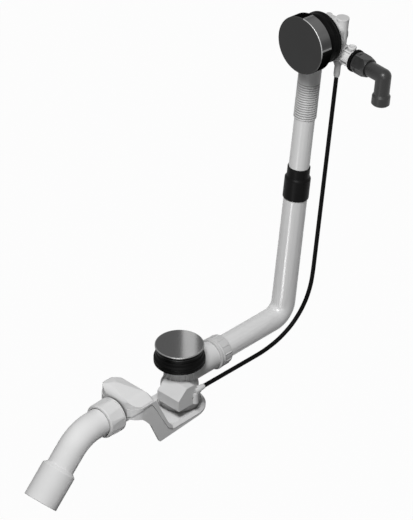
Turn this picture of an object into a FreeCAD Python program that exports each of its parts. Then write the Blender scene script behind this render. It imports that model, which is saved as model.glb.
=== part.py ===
# Bath waste and overflow: pop-up waste with a flat trap, overflow head with a rotary knob and a
# filling elbow, joined by a telescopic overflow pipe and a pull cable.
#
# Frame: +X runs from the waste towards the overflow, +Z up. The origin is on the waste axis, in the
# plane where the bath floor sits on the waste gasket. Millimetres.
import FreeCAD, Part
import math
import os

Vector = FreeCAD.Vector
UP = Vector(0, 0, 1)
ALONG_X = Vector(1, 0, 0)
ALONG_Y = Vector(0, 1, 0)

# Shared clearances
SLIP = 0.1            # radial gap between curved faces of pieces that never move apart
RUNNING = 0.3         # gap between pieces on different moving bodies
PIN_FIT = 0.06        # radial gap of a shaft that turns or slides in its bearing

# Plug and waste flange
LID_R = 34.2
LID_TOP = 6.0
LID_THICKNESS = 2.8
LID_EDGE = 1.0
LID_WEB = 1.8         # thickness of the lid inside its rim
LID_BOSS_R = 7.5
LID_BOSS_DEPTH = 7.0
STEM_R = 3.0
STEM_FOOT_R = 4.0
STEM_FOOT_H = 3.0
PLUG_SEAL_OUT_R = 29.0
PLUG_SEAL_IN_R = 23.5
FLANGE_R = 33.5
FLANGE_T = 1.2
FLANGE_SEAT_R = 27.0  # where the flat rim turns down into the cone
FLANGE_NECK_R = 20.9
FLANGE_CONE_Z = -5.0
FLANGE_FLOOR_Z = -14.0
STRAINER_HUB_R = 9.0
STRAINER_RING_R = 16.5
STRAINER_SPOKES = 6
STRAINER_SPOKE_W = 3.2
CLAMP_SCREW_R = 5.0
CLAMP_HEAD_R = 8.0
CLAMP_HEAD_H = 2.5
CLAMP_SLOT_W = 2.0

# Waste gasket
GASKET_NECK_R = 32.1
GASKET_LIP_R = 36.0
GASKET_BORE_R = 24.0
GASKET_BOTTOM = -22.0

# Waste body
BODY_FLANGE_R = 31.5
BODY_FLANGE_TOP = -14.0
BODY_FLANGE_T = 4.0
BODY_WALL = 2.8
NECK_R = 21.0
NECK_BOTTOM = -48.0
BARREL_R = 26.5
BARREL_TOP = -58.0
BARREL_BOTTOM = -80.0
SPIGOT_R = 24.5
SPIGOT_GROOVE_Z = -86.5
SPIGOT_BOTTOM = -90.5
NECK_RIBS = 18
NECK_RIB_H = 1.2
NECK_RIB_W = 1.8
HUB_R = 8.0
HUB_TOP = -22.0
HUB_BOTTOM = -36.0
HUB_ARMS = 3
HUB_ARM_W = 3.0

# Branch for the overflow pipe
LEG_Z = -43.0
BRANCH_R = 19.5
BRANCH_END = 73.0
LEG_NUT_START = 61.0
LEG_NUT_END = 83.0
LEG_NUT_R = 21.2
LEG_NUT_COLLAR_R = 22.6
LEG_NUT_GRIPS = 12

# Overflow pipe: horizontal leg, elbow, leaning column
PIPE_R = 16.6
PIPE_WALL = 1.8
LEG_START = 66.0
ELBOW_X = 200.0
ELBOW_BEND_R = 24.0
COLUMN_LEAN = 8.0     # degrees from upright, towards +X
LOWER_PIPE_TOP = 212.0
SLEEVE_START = 186.5
SLEEVE_SHOULDER = 217.5
SLEEVE_END = 235.0
SLEEVE_R = 18.2
SLEEVE_COLLAR_R = 15.9
UPPER_TUBE_R = 14.5
UPPER_TUBE_WALL = 1.7
UPPER_TUBE_START = 150.0
UPPER_TUBE_TOP = 330.0
TAIL_START = 313.5
TAIL_RIBS = 15
TAIL_TOP = 415.0
TAIL_R = 16.0
TAIL_ROOT_R = 15.2
TAIL_PITCH = 3.7

# Trap
FLOOR_Z = -97.7       # floor height under the waste axis
FLOOR_RISE = 0.085    # slope of the floor towards +X
TRAP_HALF_W = 36.0
TRAP_WALL = 2.8
TRAP_END_X = -125.0
TRAP_CORNER_R = 20.0
RIM_PROUD = 1.2
CHEEK_T = 3.0
TRAP_FAR_X = TRAP_HALF_W + 8
CREST_X = -87.8
CREST_Z = -17.8
TRAP_TOP_Z = -11.4
REAR_SHOULDER_Z = -16.0  # the chamber is highest at the rear and falls towards the front
FRONT_SHOULDER_Z = -27.5
HIP_START = -59.2     # where the crest's ends turn down, along the diagonals
HIP_R = 16.0
HIP_FOOT_Z = -45.0
ROOF_Z = -88.5
DISH_DEPTH = 1.2
DISH_WIDTH = 3.0
TRAY_BEAD_R = 33.0    # where the tray's top turns down towards its welded rim
TRAY_RIM_Z = -93.2
TRAY_START_X = -50.0  # foot of the riser
COLLAR_R = 28.0
OUTLET_Z = -47.0
OUTLET_NECK_R = 18.4
OUTLET_NECK_BORE_R = 15.8
OUTLET_THREAD_R = 23.0
OUTLET_MOUTH_X = -150.0
OUTLET_STOP_X = -134.0

# Outlet union and bend
OUTLET_NUT_START = -155.6
OUTLET_NUT_END = -127.4
OUTLET_NUT_R = 25.5
OUTLET_NUT_GRIPS = 10
BEND_PIPE_R = 20.0
BEND_WALL = 2.0
BEND_CORNER_X = -192.5
BEND_R = 62.0
BEND_ANGLE = 45.0
BEND_LEG = 57.5       # from the corner to the end of the 40 mm pipe
OUTLET_SPIGOT_R = 25.0
OUTLET_SPIGOT_LENGTH = 51.5
OUTLET_SHOULDER = 4.0

# Lever housing and lift lever
HOUSING_LEFT = -37.0
HOUSING_RIGHT = -1.0
HOUSING_FRONT = -(BARREL_R + 9.0)
HOUSING_BACK = 6.0
HOUSING_TOP = -41.6
HOUSING_SLOPE_Z = -56.0
HOUSING_BOTTOM = -72.7
HOUSING_CREST_X = -21.0
HOUSING_WALL = 1.6
LEVER_X = -14.0
LEVER_Z = -71.5
LEVER_SHAFT_R = 2.4
LEVER_ARM = 14.0
LEVER_HALF_SWING = 21.2
CRANK_LENGTH = 16.0
CRANK_T = 1.6
CRANK_GAP = 1.6       # between the barrel and the crank
LEVER_TIP_R = 2.0
CRANK_Y = -(BARREL_R + CRANK_GAP + CRANK_T / 2)

# Pull cable
CABLE_R = 3.0
CABLE_BORE_R = 1.2
LOW_FERRULE_R = 4.0
HIGH_FERRULE_R = 4.5
LOW_FERRULE_START = 0.0
LOW_FERRULE_END = 13.0
LOW_CABLE_Y = HOUSING_FRONT + 1.5
LOW_CABLE_Z = -54.4

# Overflow head, in its own leaning frame: x backwards from the knob's face, y as the frame's +Y,
# z up the lean
HEAD_RISE = 457.4     # from the pipe's elbow up to the knob axis, along the column
COLUMN_DEPTH = 60.0   # column axis behind the knob's face
KNOB_OFFSET = 29.0    # column axis beside the knob axis
KNOB_R = 41.6
KNOB_DEPTH = 19.6
KNOB_FACE_T = 3.0
KNOB_WALL = 2.6
KNOB_CHAMFER = 0.7
KNOB_GRIP_DEPTH = 0.5
KNOB_HUB_R = 9.0
KNOB_HUB_DEPTH = 15.0
SPINDLE_R = 4.0
HEAD_FLANGE_R = 36.0
HEAD_FLANGE_X = 20.0
HEAD_FLANGE_T = 1.5
HEAD_GASKET_START = 21.6
HEAD_GASKET_END = 44.4
HEAD_GASKET_R = 36.6
HEAD_GASKET_BORE_R = 28.0
HEAD_SCREW_Y = 22.0
HEAD_SCREW_R = 2.5
HEAD_SCREW_HEAD_R = 4.5
CASE_FRONT_R = 33.0
CASE_FRONT_T = 4.0
CASE_BACK = 62.0
DRUM_CASE_R = 17.4
DRUM_CASE_BACK = 75.0
DRUM_R = 13.4        # winds the cable's inner wire
DRUM_FLANGE_R = 14.6
DRUM_START = 62.5
DRUM_LENGTH = 8.0
DRUM_CHAMBER_R = 15.2
DRUM_CHAMBER_START = 61.5
REAR_COVER_R = 17.4
REAR_COVER_T = 2.5
POST_DEPTH = 66.0
POST_Y = -13.6
POST_R = 9.0
POST_BORE_R = 6.6
POST_TOP = 26.2
POST_BOTTOM = -17.0
VALVE_CAP_H = 3.0
CABLE_EXIT_Y = -14.4
CABLE_EXIT_TOP = -38.0
HIGH_FERRULE_END = -62.6
SUPPLY_DEPTH = 66.0
SUPPLY_Z = -24.0
SUPPLY_STUB_R = 11.2
SUPPLY_STUB_END = -57.0
SUPPLY_BORE_R = 8.0
STUB_ROOT_END = -28.0
STUB_WEBS = 6
STUB_WEB_T = 2.4
SUPPLY_RING_R = 16.2
SUPPLY_RING_Y = -44.0
SUPPLY_RING_T = 4.0
SUPPLY_NUT_AF = 27.0
SUPPLY_NUT_START = -49.5
SUPPLY_NUT_END = -72.5
SUPPLY_PIPE_R = 11.0
SUPPLY_ELBOW_Y = -99.2
SUPPLY_DROP = 43.4
SUPPLY_THREAD_R = 12.9
SUPPLY_THREAD_LENGTH = 13.8
VENT_Y = -36.6
VENT_TOP = -9.0
VENT_R = 5.0
VENT_PLUG_R = 3.4
VENT_CAP_R = 6.2
VENT_CAP_H = 3.4


# Outline and placement helpers

def corner_arc(before, corner, after, radius):
    """Two tangent points and the middle of the arc that rounds one corner of an outline."""
    to_before = (before - corner).normalize()
    to_after = (after - corner).normalize()
    half = to_before.getAngle(to_after) / 2
    reach = radius / math.tan(half)
    bisector = (to_before + to_after).normalize()
    middle = corner + bisector * (radius / math.sin(half) - radius)
    return corner + to_before * reach, middle, corner + to_after * reach


def outline(points, place):
    """A closed face. Each point is (a, b) or (a, b, corner radius), place turns (a, b) to space."""
    corners = [place(p[0], p[1]) for p in points]
    radii = [p[2] if len(p) > 2 else 0 for p in points]
    count = len(points)
    edges = []
    spans = []
    for i in range(count):
        here = corners[i]
        if radii[i] > 0:
            spans.append(corner_arc(corners[i - 1], here, corners[(i + 1) % count], radii[i]))
        else:
            spans.append((here, None, here))
    for i in range(count):
        start, middle, end = spans[i]
        if middle is not None:
            edges.append(Part.Arc(start, middle, end).toShape())
        following = spans[(i + 1) % count][0]
        if (following - end).Length > 1e-6:
            edges.append(Part.LineSegment(end, following).toShape())
    return Part.Face(Part.Wire(edges))


def on_xz(x, z):
    return Vector(x, 0, z)


def side_prism(points, y_from, y_to):
    """An outline in the X-Z plane, extruded along Y."""
    face = outline(points, lambda x, z: Vector(x, y_from, z))
    return face.extrude(Vector(0, y_to - y_from, 0))


def plan_prism(points, z_from, z_to):
    """An outline in the X-Y plane, extruded along Z."""
    face = outline(points, lambda x, y: Vector(x, y, z_from))
    return face.extrude(Vector(0, 0, z_to - z_from))


def front_prism(points, x_from, x_to):
    """An outline in the Y-Z plane, extruded along X."""
    face = outline(points, lambda y, z: Vector(x_from, y, z))
    return face.extrude(Vector(x_to - x_from, 0, 0))


def turned(profile):
    """A solid of revolution about Z from a closed (radius, height) outline."""
    return outline(profile, on_xz).revolve(Vector(0, 0, 0), UP, 360)


def rod(radius, start, end):
    """A cylinder between two points."""
    axis = end - start
    return Part.makeCylinder(radius, axis.Length, start, axis)


def pipe_piece(outer, inner, start, end):
    """A straight tube between two points."""
    return rod(outer, start, end).cut(rod(inner, start, end))


def placed(shape, origin, direction):
    """A shape built along Z, moved so that its Z axis starts at origin along direction."""
    moved = shape.copy()
    moved.Placement = FreeCAD.Placement(origin, FreeCAD.Rotation(UP, direction))
    return moved


def refined(shape):
    """The shape with split faces merged, where the merged solid is sound."""
    merged = shape.copy().removeSplitter()
    return merged if merged.isValid() else shape


def union(*shapes):
    body = shapes[0]
    for shape in shapes[1:]:
        body = body.fuse(shape)
    return refined(body)


def ring_of(shape, count, centre, axis, first=0.0):
    """Copies of a shape, turned evenly about an axis."""
    copies = []
    for i in range(count):
        copy = shape.copy()
        copy.rotate(centre, axis, first + 360.0 * i / count)
        copies.append(copy)
    return copies


def bent_rod(radius, points, bend_radii):
    """A round bar along straight runs joined by tangent arcs."""
    edges = []
    here = points[0]
    for i in range(1, len(points) - 1):
        start, middle, end = corner_arc(points[i - 1], points[i], points[i + 1], bend_radii[i - 1])
        if (start - here).Length > 1e-6:
            edges.append(Part.LineSegment(here, start).toShape())
        edges.append(Part.Arc(start, middle, end).toShape())
        here = end
    edges.append(Part.LineSegment(here, points[-1]).toShape())
    path = Part.Wire(edges)
    circle = Part.Wire([Part.Circle(points[0], points[1] - points[0], radius).toShape()])
    return path.makePipeShell([circle], True, False), path.Length


# Reference points of the overflow side

LEAN = math.radians(COLUMN_LEAN)
ELBOW = Vector(ELBOW_X, 0, LEG_Z)
COLUMN_UP = Vector(math.sin(LEAN), 0, math.cos(LEAN))
BACKWARDS = Vector(math.cos(LEAN), 0, -math.sin(LEAN))
KNOB_FACE = ELBOW + COLUMN_UP * HEAD_RISE - BACKWARDS * COLUMN_DEPTH - ALONG_Y * KNOB_OFFSET
HEAD_PLACEMENT = FreeCAD.Placement(KNOB_FACE, FreeCAD.Rotation(ALONG_Y, COLUMN_LEAN))


def on_column(distance):
    return ELBOW + COLUMN_UP * distance


def at_head(shape):
    moved = shape.copy()
    moved.Placement = HEAD_PLACEMENT.multiply(moved.Placement)
    return moved


def head_point(x, y, z):
    return HEAD_PLACEMENT.multVec(Vector(x, y, z))


def head_turned(profile):
    """A turned piece whose axis runs backwards through the knob axis: (radius, depth) outline."""
    return at_head(placed(turned(profile), Vector(0, 0, 0), ALONG_X))


# Plug and flange

def plug_lid():
    bottom = LID_TOP - LID_THICKNESS
    under = LID_TOP - LID_WEB
    lid = turned([
        (0, LID_TOP),
        (LID_R, LID_TOP, LID_EDGE),
        (LID_R, bottom, 0.5),
        (LID_R - 1.8, bottom, 0.5),
        (LID_R - 2.4, under),
        (LID_BOSS_R, under),
        (LID_BOSS_R, under - LID_BOSS_DEPTH, 1.0),
        (0, under - LID_BOSS_DEPTH),
    ])
    socket = rod(STEM_R + SLIP / 2, Vector(0, 0, under - LID_BOSS_DEPTH - 1), Vector(0, 0, under - 0.6))
    return lid.cut(socket)


def plug_seal():
    top = LID_TOP - LID_WEB
    bottom = FLANGE_T + RUNNING
    return turned([
        (PLUG_SEAL_IN_R, top),
        (PLUG_SEAL_OUT_R, top),
        (PLUG_SEAL_OUT_R, bottom + 0.8, 0.5),
        (PLUG_SEAL_OUT_R - 1.5, bottom, 0.5),
        (PLUG_SEAL_IN_R, bottom + 0.6),
    ])


def stem_bottom():
    tip_drop = LEVER_ARM * math.sin(math.radians(LEVER_HALF_SWING))
    return LEVER_Z - tip_drop + LEVER_TIP_R + RUNNING


def plug_stem():
    foot = stem_bottom()
    top = LID_TOP - LID_WEB - 0.6
    return turned([
        (0, foot),
        (STEM_FOOT_R, foot, 0.6),
        (STEM_FOOT_R, foot + STEM_FOOT_H, 0.6),
        (STEM_R, foot + STEM_FOOT_H + 1.5),
        (STEM_R, top),
        (0, top),
    ])


def waste_flange():
    t = FLANGE_T
    dish = turned([
        (FLANGE_R, 0),
        (FLANGE_R, t, 0.5),
        (FLANGE_SEAT_R, t, 2.0),
        (FLANGE_NECK_R - t, FLANGE_CONE_Z, 2.0),
        (FLANGE_NECK_R - t, FLANGE_FLOOR_Z + t),
        (CLAMP_SCREW_R + SLIP, FLANGE_FLOOR_Z + t),
        (CLAMP_SCREW_R + SLIP, FLANGE_FLOOR_Z),
        (FLANGE_NECK_R, FLANGE_FLOOR_Z),
        (FLANGE_NECK_R, FLANGE_CONE_Z, 2.0),
        (FLANGE_SEAT_R, 0, 2.0),
    ])
    window = turned([
        (STRAINER_HUB_R, FLANGE_FLOOR_Z - 1),
        (STRAINER_RING_R, FLANGE_FLOOR_Z - 1),
        (STRAINER_RING_R, FLANGE_FLOOR_Z + t + 1),
        (STRAINER_HUB_R, FLANGE_FLOOR_Z + t + 1),
    ])
    spoke = Part.makeBox(FLANGE_NECK_R - 2, STRAINER_SPOKE_W, 4,
                         Vector(0, -STRAINER_SPOKE_W / 2, FLANGE_FLOOR_Z - 1.5))
    for bar in ring_of(spoke, STRAINER_SPOKES, Vector(0, 0, 0), UP, 30):
        window = window.cut(bar)
    return dish.cut(window)


def clamp_screw():
    head_bottom = FLANGE_FLOOR_Z + FLANGE_T
    head_top = head_bottom + CLAMP_HEAD_H
    screw = turned([
        (STEM_R + PIN_FIT, HUB_BOTTOM),
        (CLAMP_SCREW_R, HUB_BOTTOM),
        (CLAMP_SCREW_R, head_bottom),
        (CLAMP_HEAD_R, head_bottom),
        (CLAMP_HEAD_R, head_top, 0.6),
        (STEM_R + PIN_FIT, head_top),
    ])
    slot = Part.makeBox(2 * CLAMP_HEAD_R + 2, CLAMP_SLOT_W, 1.4,
                        Vector(-CLAMP_HEAD_R - 1, -CLAMP_SLOT_W / 2, head_top - 1.3))
    return screw.cut(slot)


def waste_gasket():
    flange_bottom = BODY_FLANGE_TOP - BODY_FLANGE_T
    return turned([
        (FLANGE_SEAT_R + 1.6, 0),
        (GASKET_NECK_R, 0, 1.2),
        (GASKET_NECK_R, -4.5, 0.6),
        (GASKET_NECK_R - 1.4, -5.7, 0.5),
        (GASKET_NECK_R - 1.4, -7.0, 0.5),
        (GASKET_NECK_R + 0.3, -8.2, 0.5),
        (GASKET_NECK_R + 1.2, -11.0, 1.0),
        (GASKET_LIP_R - 0.4, -12.8, 1.0),
        (GASKET_LIP_R, -15.0, 1.0),
        (GASKET_LIP_R - 0.8, -17.0, 0.6),
        (GASKET_LIP_R, -18.6, 0.6),
        (GASKET_LIP_R - 0.3, GASKET_BOTTOM, 0.8),
        (NECK_R + NECK_RIB_H + 3.0, GASKET_BOTTOM),
        (NECK_R + NECK_RIB_H + 3.0, flange_bottom),
        (BODY_FLANGE_R + SLIP, flange_bottom),
        (BODY_FLANGE_R + SLIP, BODY_FLANGE_TOP),
        (GASKET_BORE_R, BODY_FLANGE_TOP),
        (GASKET_BORE_R, -3.0),
    ])


# Waste body

def waste_body():
    flange_bottom = BODY_FLANGE_TOP - BODY_FLANGE_T
    shell = turned([
        (0, BODY_FLANGE_TOP),
        (BODY_FLANGE_R, BODY_FLANGE_TOP),
        (BODY_FLANGE_R, flange_bottom),
        (NECK_R, flange_bottom, 1.0),
        (NECK_R, NECK_BOTTOM, 6.0),
        (BARREL_R, BARREL_TOP, 6.0),
        (BARREL_R, BARREL_BOTTOM),
        (SPIGOT_R, BARREL_BOTTOM),
        (SPIGOT_R, SPIGOT_BOTTOM, 0.8),
        (0, SPIGOT_BOTTOM),
    ])
    rib = Part.makeBox(NECK_R + NECK_RIB_H, NECK_RIB_W, flange_bottom - 3.2 - NECK_BOTTOM,
                       Vector(0, -NECK_RIB_W / 2, NECK_BOTTOM))
    ribs = ring_of(rib, NECK_RIBS, Vector(0, 0, 0), UP, 10)
    branch = rod(BRANCH_R, Vector(0, 0, LEG_Z), Vector(BRANCH_END, 0, LEG_Z))
    outer = union(shell, *ribs, branch)
    cavity = turned([
        (0, BODY_FLANGE_TOP + 1),
        (NECK_R - BODY_WALL, BODY_FLANGE_TOP + 1),
        (NECK_R - BODY_WALL, NECK_BOTTOM, 6.0),
        (BARREL_R - BODY_WALL, BARREL_TOP, 6.0),
        (BARREL_R - BODY_WALL, BARREL_BOTTOM + 3),
        (SPIGOT_R - BODY_WALL, BARREL_BOTTOM),
        (SPIGOT_R - BODY_WALL, SPIGOT_BOTTOM - 1),
        (0, SPIGOT_BOTTOM - 1),
    ])
    bore = rod(PIPE_R - PIPE_WALL, Vector(10, 0, LEG_Z), Vector(BRANCH_END, 0, LEG_Z))
    socket = rod(PIPE_R + SLIP, Vector(LEG_START - 1, 0, LEG_Z), Vector(BRANCH_END + 1, 0, LEG_Z))
    groove_from = Vector(0, 0, SPIGOT_GROOVE_Z - 1.5)
    groove_to = Vector(0, 0, SPIGOT_GROOVE_Z + 1.5)
    seal_groove = pipe_piece(SPIGOT_R + 1, SPIGOT_R - 1.4, groove_from, groove_to)
    hub = rod(HUB_R, Vector(0, 0, HUB_BOTTOM), Vector(0, 0, HUB_TOP))
    arm = Part.makeBox(NECK_R - BODY_WALL / 2, HUB_ARM_W, 9,
                       Vector(0, -HUB_ARM_W / 2, HUB_BOTTOM + 2))
    arms = ring_of(arm, HUB_ARMS, Vector(0, 0, 0), UP, 60)
    hollow = outer.cut(cavity).cut(bore).cut(socket).cut(seal_groove)
    body = union(hollow, hub, *arms)
    screw_hole = rod(CLAMP_SCREW_R, Vector(0, 0, HUB_BOTTOM - 1), Vector(0, 0, HUB_TOP + 1))
    bearing = rod(LEVER_SHAFT_R + PIN_FIT, Vector(LEVER_X, HOUSING_FRONT, LEVER_Z),
                  Vector(LEVER_X, -5, LEVER_Z))
    cable_groove = rod(LOW_FERRULE_R + 1.3, Vector(HOUSING_LEFT, LOW_CABLE_Y, LOW_CABLE_Z),
                       Vector(LOW_FERRULE_END + 6, LOW_CABLE_Y, LOW_CABLE_Z))
    return body.cut(screw_hole).cut(bearing).cut(cable_groove)


def trap_seal():
    ring = Part.makeTorus(SPIGOT_R - 0.35, 1.05, Vector(0, 0, SPIGOT_GROOVE_Z), UP)
    groove_from = Vector(0, 0, SPIGOT_GROOVE_Z - 1.5)
    return ring.common(rod(SPIGOT_R + SLIP / 2, groove_from, groove_from + UP * 3))


# Lever housing and lift lever

def housing_profile(inset):
    return [
        (HOUSING_LEFT + inset, HOUSING_BOTTOM + inset, 1.0),
        (HOUSING_RIGHT - inset, HOUSING_BOTTOM + inset, 1.0),
        (HOUSING_RIGHT - inset, HOUSING_TOP - 6.0, 2.0),
        (HOUSING_RIGHT - 6.0, HOUSING_TOP - inset - 0.8, 4.0),
        (HOUSING_CREST_X, HOUSING_TOP - inset, 4.0),
        (HOUSING_LEFT + inset, HOUSING_SLOPE_Z - inset * 0.42, 1.5),
    ]


def lever_housing():
    block = side_prism(housing_profile(0), HOUSING_FRONT, HOUSING_BACK)
    boss_x = HOUSING_RIGHT - 3.5
    boss_r = 4.6
    boss_top = HOUSING_TOP - 14.5
    boss = rod(boss_r, Vector(boss_x, HOUSING_FRONT + 0.6, HOUSING_BOTTOM),
               Vector(boss_x, HOUSING_FRONT + 0.6, boss_top))
    barrel_guide = rod(LOW_FERRULE_R + 1.2, Vector(HOUSING_RIGHT - 4, LOW_CABLE_Y, LOW_CABLE_Z),
                       Vector(HOUSING_RIGHT + 5, LOW_CABLE_Y, LOW_CABLE_Z))
    block = union(block, boss, barrel_guide)
    space = side_prism(housing_profile(HOUSING_WALL), HOUSING_FRONT + HOUSING_WALL,
                       HOUSING_BACK - HOUSING_WALL)
    open_bottom = Part.makeBox(HOUSING_RIGHT - HOUSING_LEFT - 2 * HOUSING_WALL,
                               HOUSING_BACK - HOUSING_FRONT - 2 * HOUSING_WALL, HOUSING_WALL + 4,
                               Vector(HOUSING_LEFT + HOUSING_WALL, HOUSING_FRONT + HOUSING_WALL,
                                      HOUSING_BOTTOM - 1))
    space = space.fuse(open_bottom)
    space = space.cut(rod(boss_r, Vector(boss_x, HOUSING_FRONT + 0.6, HOUSING_BOTTOM),
                          Vector(boss_x, HOUSING_FRONT + 0.6, boss_top)))
    around_body = turned([
        (0, -20),
        (NECK_R + NECK_RIB_H + SLIP, -20),
        (NECK_R + NECK_RIB_H + SLIP, NECK_BOTTOM),
        (BARREL_R + SLIP, BARREL_TOP),
        (BARREL_R + SLIP, HOUSING_BOTTOM - 2),
        (0, HOUSING_BOTTOM - 2),
    ])
    ferrule_bore = rod(LOW_FERRULE_R + SLIP / 2, Vector(LOW_FERRULE_START, LOW_CABLE_Y, LOW_CABLE_Z),
                       Vector(HOUSING_RIGHT + 9, LOW_CABLE_Y, LOW_CABLE_Z))
    wire_hole = rod(1.4, Vector(HOUSING_RIGHT - 11, LOW_CABLE_Y, LOW_CABLE_Z),
                    Vector(HOUSING_RIGHT + 4, LOW_CABLE_Y, LOW_CABLE_Z))
    hole = Vector(HOUSING_RIGHT - 8.5, HOUSING_FRONT - 1, HOUSING_BOTTOM + 9.7)
    peep_hole = rod(1.3, hole, hole + ALONG_Y * 4)
    side_notch = Part.makeBox(5, 3, 3, Vector(HOUSING_LEFT + 3.5, HOUSING_BACK - 1.2, HOUSING_SLOPE_Z + 3.0))
    shell = block.cut(space).cut(around_body).cut(ferrule_bore).cut(wire_hole)
    shell = shell.cut(peep_hole).cut(side_notch)
    return max(shell.Solids, key=lambda solid: solid.Volume)


def lever_rotation(shape, degrees):
    turned_shape = shape.copy()
    turned_shape.rotate(Vector(LEVER_X, 0, LEVER_Z), ALONG_Y, degrees)
    return turned_shape


def lift_lever():
    """Shaft along Y with the inner arm that lifts the plug stem."""
    shaft = rod(LEVER_SHAFT_R, Vector(LEVER_X, CRANK_Y - CRANK_T / 2, LEVER_Z), Vector(LEVER_X, 4, LEVER_Z))
    arm_start = Vector(LEVER_X, 0, LEVER_Z)
    boss = rod(4.2, Vector(LEVER_X, -4, LEVER_Z), Vector(LEVER_X, 4, LEVER_Z))
    bar = side_prism([
        (LEVER_X, LEVER_Z + 2.0),
        (LEVER_X + LEVER_ARM - 2.5, LEVER_Z - 0.6),
        (LEVER_X + LEVER_ARM, LEVER_Z),
        (LEVER_X + LEVER_ARM, LEVER_Z - LEVER_TIP_R),
        (LEVER_X, LEVER_Z - 3.0),
    ], -2.5, 2.5)
    tip = rod(LEVER_TIP_R, arm_start + Vector(LEVER_ARM, -3.5, 0), arm_start + Vector(LEVER_ARM, 3.5, 0))
    arm = union(boss, bar, tip)
    return union(shaft, lever_rotation(arm, LEVER_HALF_SWING))


def cable_crank():
    """Outer arm on the lever's shaft, pulled by the cable inside the housing."""
    y_from = CRANK_Y - CRANK_T / 2
    y_to = CRANK_Y + CRANK_T / 2
    hub = rod(4.4, Vector(LEVER_X, y_from, LEVER_Z), Vector(LEVER_X, y_to, LEVER_Z))
    end_z = LEVER_Z + CRANK_LENGTH
    end = rod(2.8, Vector(LEVER_X, y_from, end_z), Vector(LEVER_X, y_to, end_z))
    web = side_prism([
        (LEVER_X - 3.6, LEVER_Z),
        (LEVER_X + 3.6, LEVER_Z),
        (LEVER_X + 2.6, LEVER_Z + CRANK_LENGTH),
        (LEVER_X - 2.6, LEVER_Z + CRANK_LENGTH),
    ], y_from, y_to)
    crank = union(hub, web, end)
    eye = rod(1.1, Vector(LEVER_X, y_from - 1, LEVER_Z + CRANK_LENGTH),
              Vector(LEVER_X, y_to + 1, LEVER_Z + CRANK_LENGTH))
    shaft = rod(LEVER_SHAFT_R + SLIP / 4, Vector(LEVER_X, y_from - 1, LEVER_Z),
                Vector(LEVER_X, y_to + 1, LEVER_Z))
    return lever_rotation(crank.cut(eye).cut(shaft), LEVER_HALF_SWING)


# Branch union and overflow pipe

def union_nut(length, outer_r, collar_r, bore_r, lip_bore_r, grips):
    """A union nut along Z: collar with a double bead at the start, lip at the end, grip ribs."""
    shell = turned([
        (bore_r, 0),
        (collar_r, 0, 0.8),
        (collar_r, 3.2, 0.8),
        (outer_r, 4.0),
        (outer_r, 5.4),
        (collar_r - 0.3, 6.2, 0.6),
        (collar_r - 0.3, 7.6, 0.6),
        (outer_r, 8.4),
        (outer_r, length, 1.6),
        (lip_bore_r, length, 0.5),
        (lip_bore_r, length - 4.0),
        (bore_r, length - 8.0),
    ])
    rib = rod(1.1, Vector(outer_r - 0.2, 0, 8.0), Vector(outer_r - 0.2, 0, length - 2.4))
    return union(shell, *ring_of(rib, grips, Vector(0, 0, 0), UP, 15))


def leg_nut():
    nut = union_nut(LEG_NUT_END - LEG_NUT_START, LEG_NUT_R, LEG_NUT_COLLAR_R,
                    BRANCH_R + SLIP, PIPE_R + SLIP, LEG_NUT_GRIPS)
    return placed(nut, Vector(LEG_NUT_START, 0, LEG_Z), ALONG_X)


def leg_seal():
    length = LEG_NUT_END - LEG_NUT_START
    start = BRANCH_END - LEG_NUT_START
    seal = turned([
        (PIPE_R + SLIP, start),
        (BRANCH_R, start),
        (BRANCH_R, length - 8.2),
        (PIPE_R + SLIP, length - 4.4),
    ])
    return placed(seal, Vector(LEG_NUT_START, 0, LEG_Z), ALONG_X)


def lower_pipe():
    points = [Vector(LEG_START, 0, LEG_Z), ELBOW, on_column(LOWER_PIPE_TOP)]
    outer, _ = bent_rod(PIPE_R, points, [ELBOW_BEND_R])
    inner, _ = bent_rod(PIPE_R - PIPE_WALL, points, [ELBOW_BEND_R])
    return outer.cut(inner)


def pipe_sleeve():
    shoulder = SLEEVE_SHOULDER - SLEEVE_START
    pipe_end = LOWER_PIPE_TOP - SLEEVE_START
    length = SLEEVE_END - SLEEVE_START
    sleeve = turned([
        (PIPE_R + SLIP, 0),
        (SLEEVE_R, 0, 1.2),
        (SLEEVE_R, shoulder, 2.4),
        (SLEEVE_COLLAR_R, shoulder + 3.0, 1.5),
        (SLEEVE_COLLAR_R, length, 0.6),
        (UPPER_TUBE_R + SLIP / 2, length),
        (UPPER_TUBE_R + SLIP / 2, pipe_end),
        (PIPE_R + SLIP, pipe_end),
    ])
    return placed(sleeve, on_column(SLEEVE_START), COLUMN_UP)


def upper_tube():
    return pipe_piece(UPPER_TUBE_R, UPPER_TUBE_R - UPPER_TUBE_WALL,
                      on_column(UPPER_TUBE_START), on_column(UPPER_TUBE_TOP))


def ribbed_tail():
    """Corrugated socket piece between the upper tube and the overflow head."""
    length = TAIL_TOP - TAIL_START
    profile = [(TAIL_ROOT_R, 0), (TAIL_R, 0.6)]
    for i in range(TAIL_RIBS):
        profile.append((TAIL_R, 0.6 + i * TAIL_PITCH + TAIL_PITCH * 0.35))
        profile.append((TAIL_ROOT_R, (i + 0.75) * TAIL_PITCH))
        profile.append((TAIL_R, (i + 1) * TAIL_PITCH + 0.4))
    smooth = TAIL_RIBS * TAIL_PITCH + 1.2
    tube_stop = UPPER_TUBE_TOP - TAIL_START
    profile += [
        (TAIL_R, smooth),
        (TAIL_R, length),
        (UPPER_TUBE_R - UPPER_TUBE_WALL, length),
        (UPPER_TUBE_R - UPPER_TUBE_WALL, tube_stop),
        (UPPER_TUBE_R + SLIP / 2, tube_stop),
        (UPPER_TUBE_R + SLIP / 2, 0),
    ]
    return placed(turned(profile), on_column(TAIL_START), COLUMN_UP)


# Trap

def floor_at(x):
    return FLOOR_Z + FLOOR_RISE * x


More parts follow.
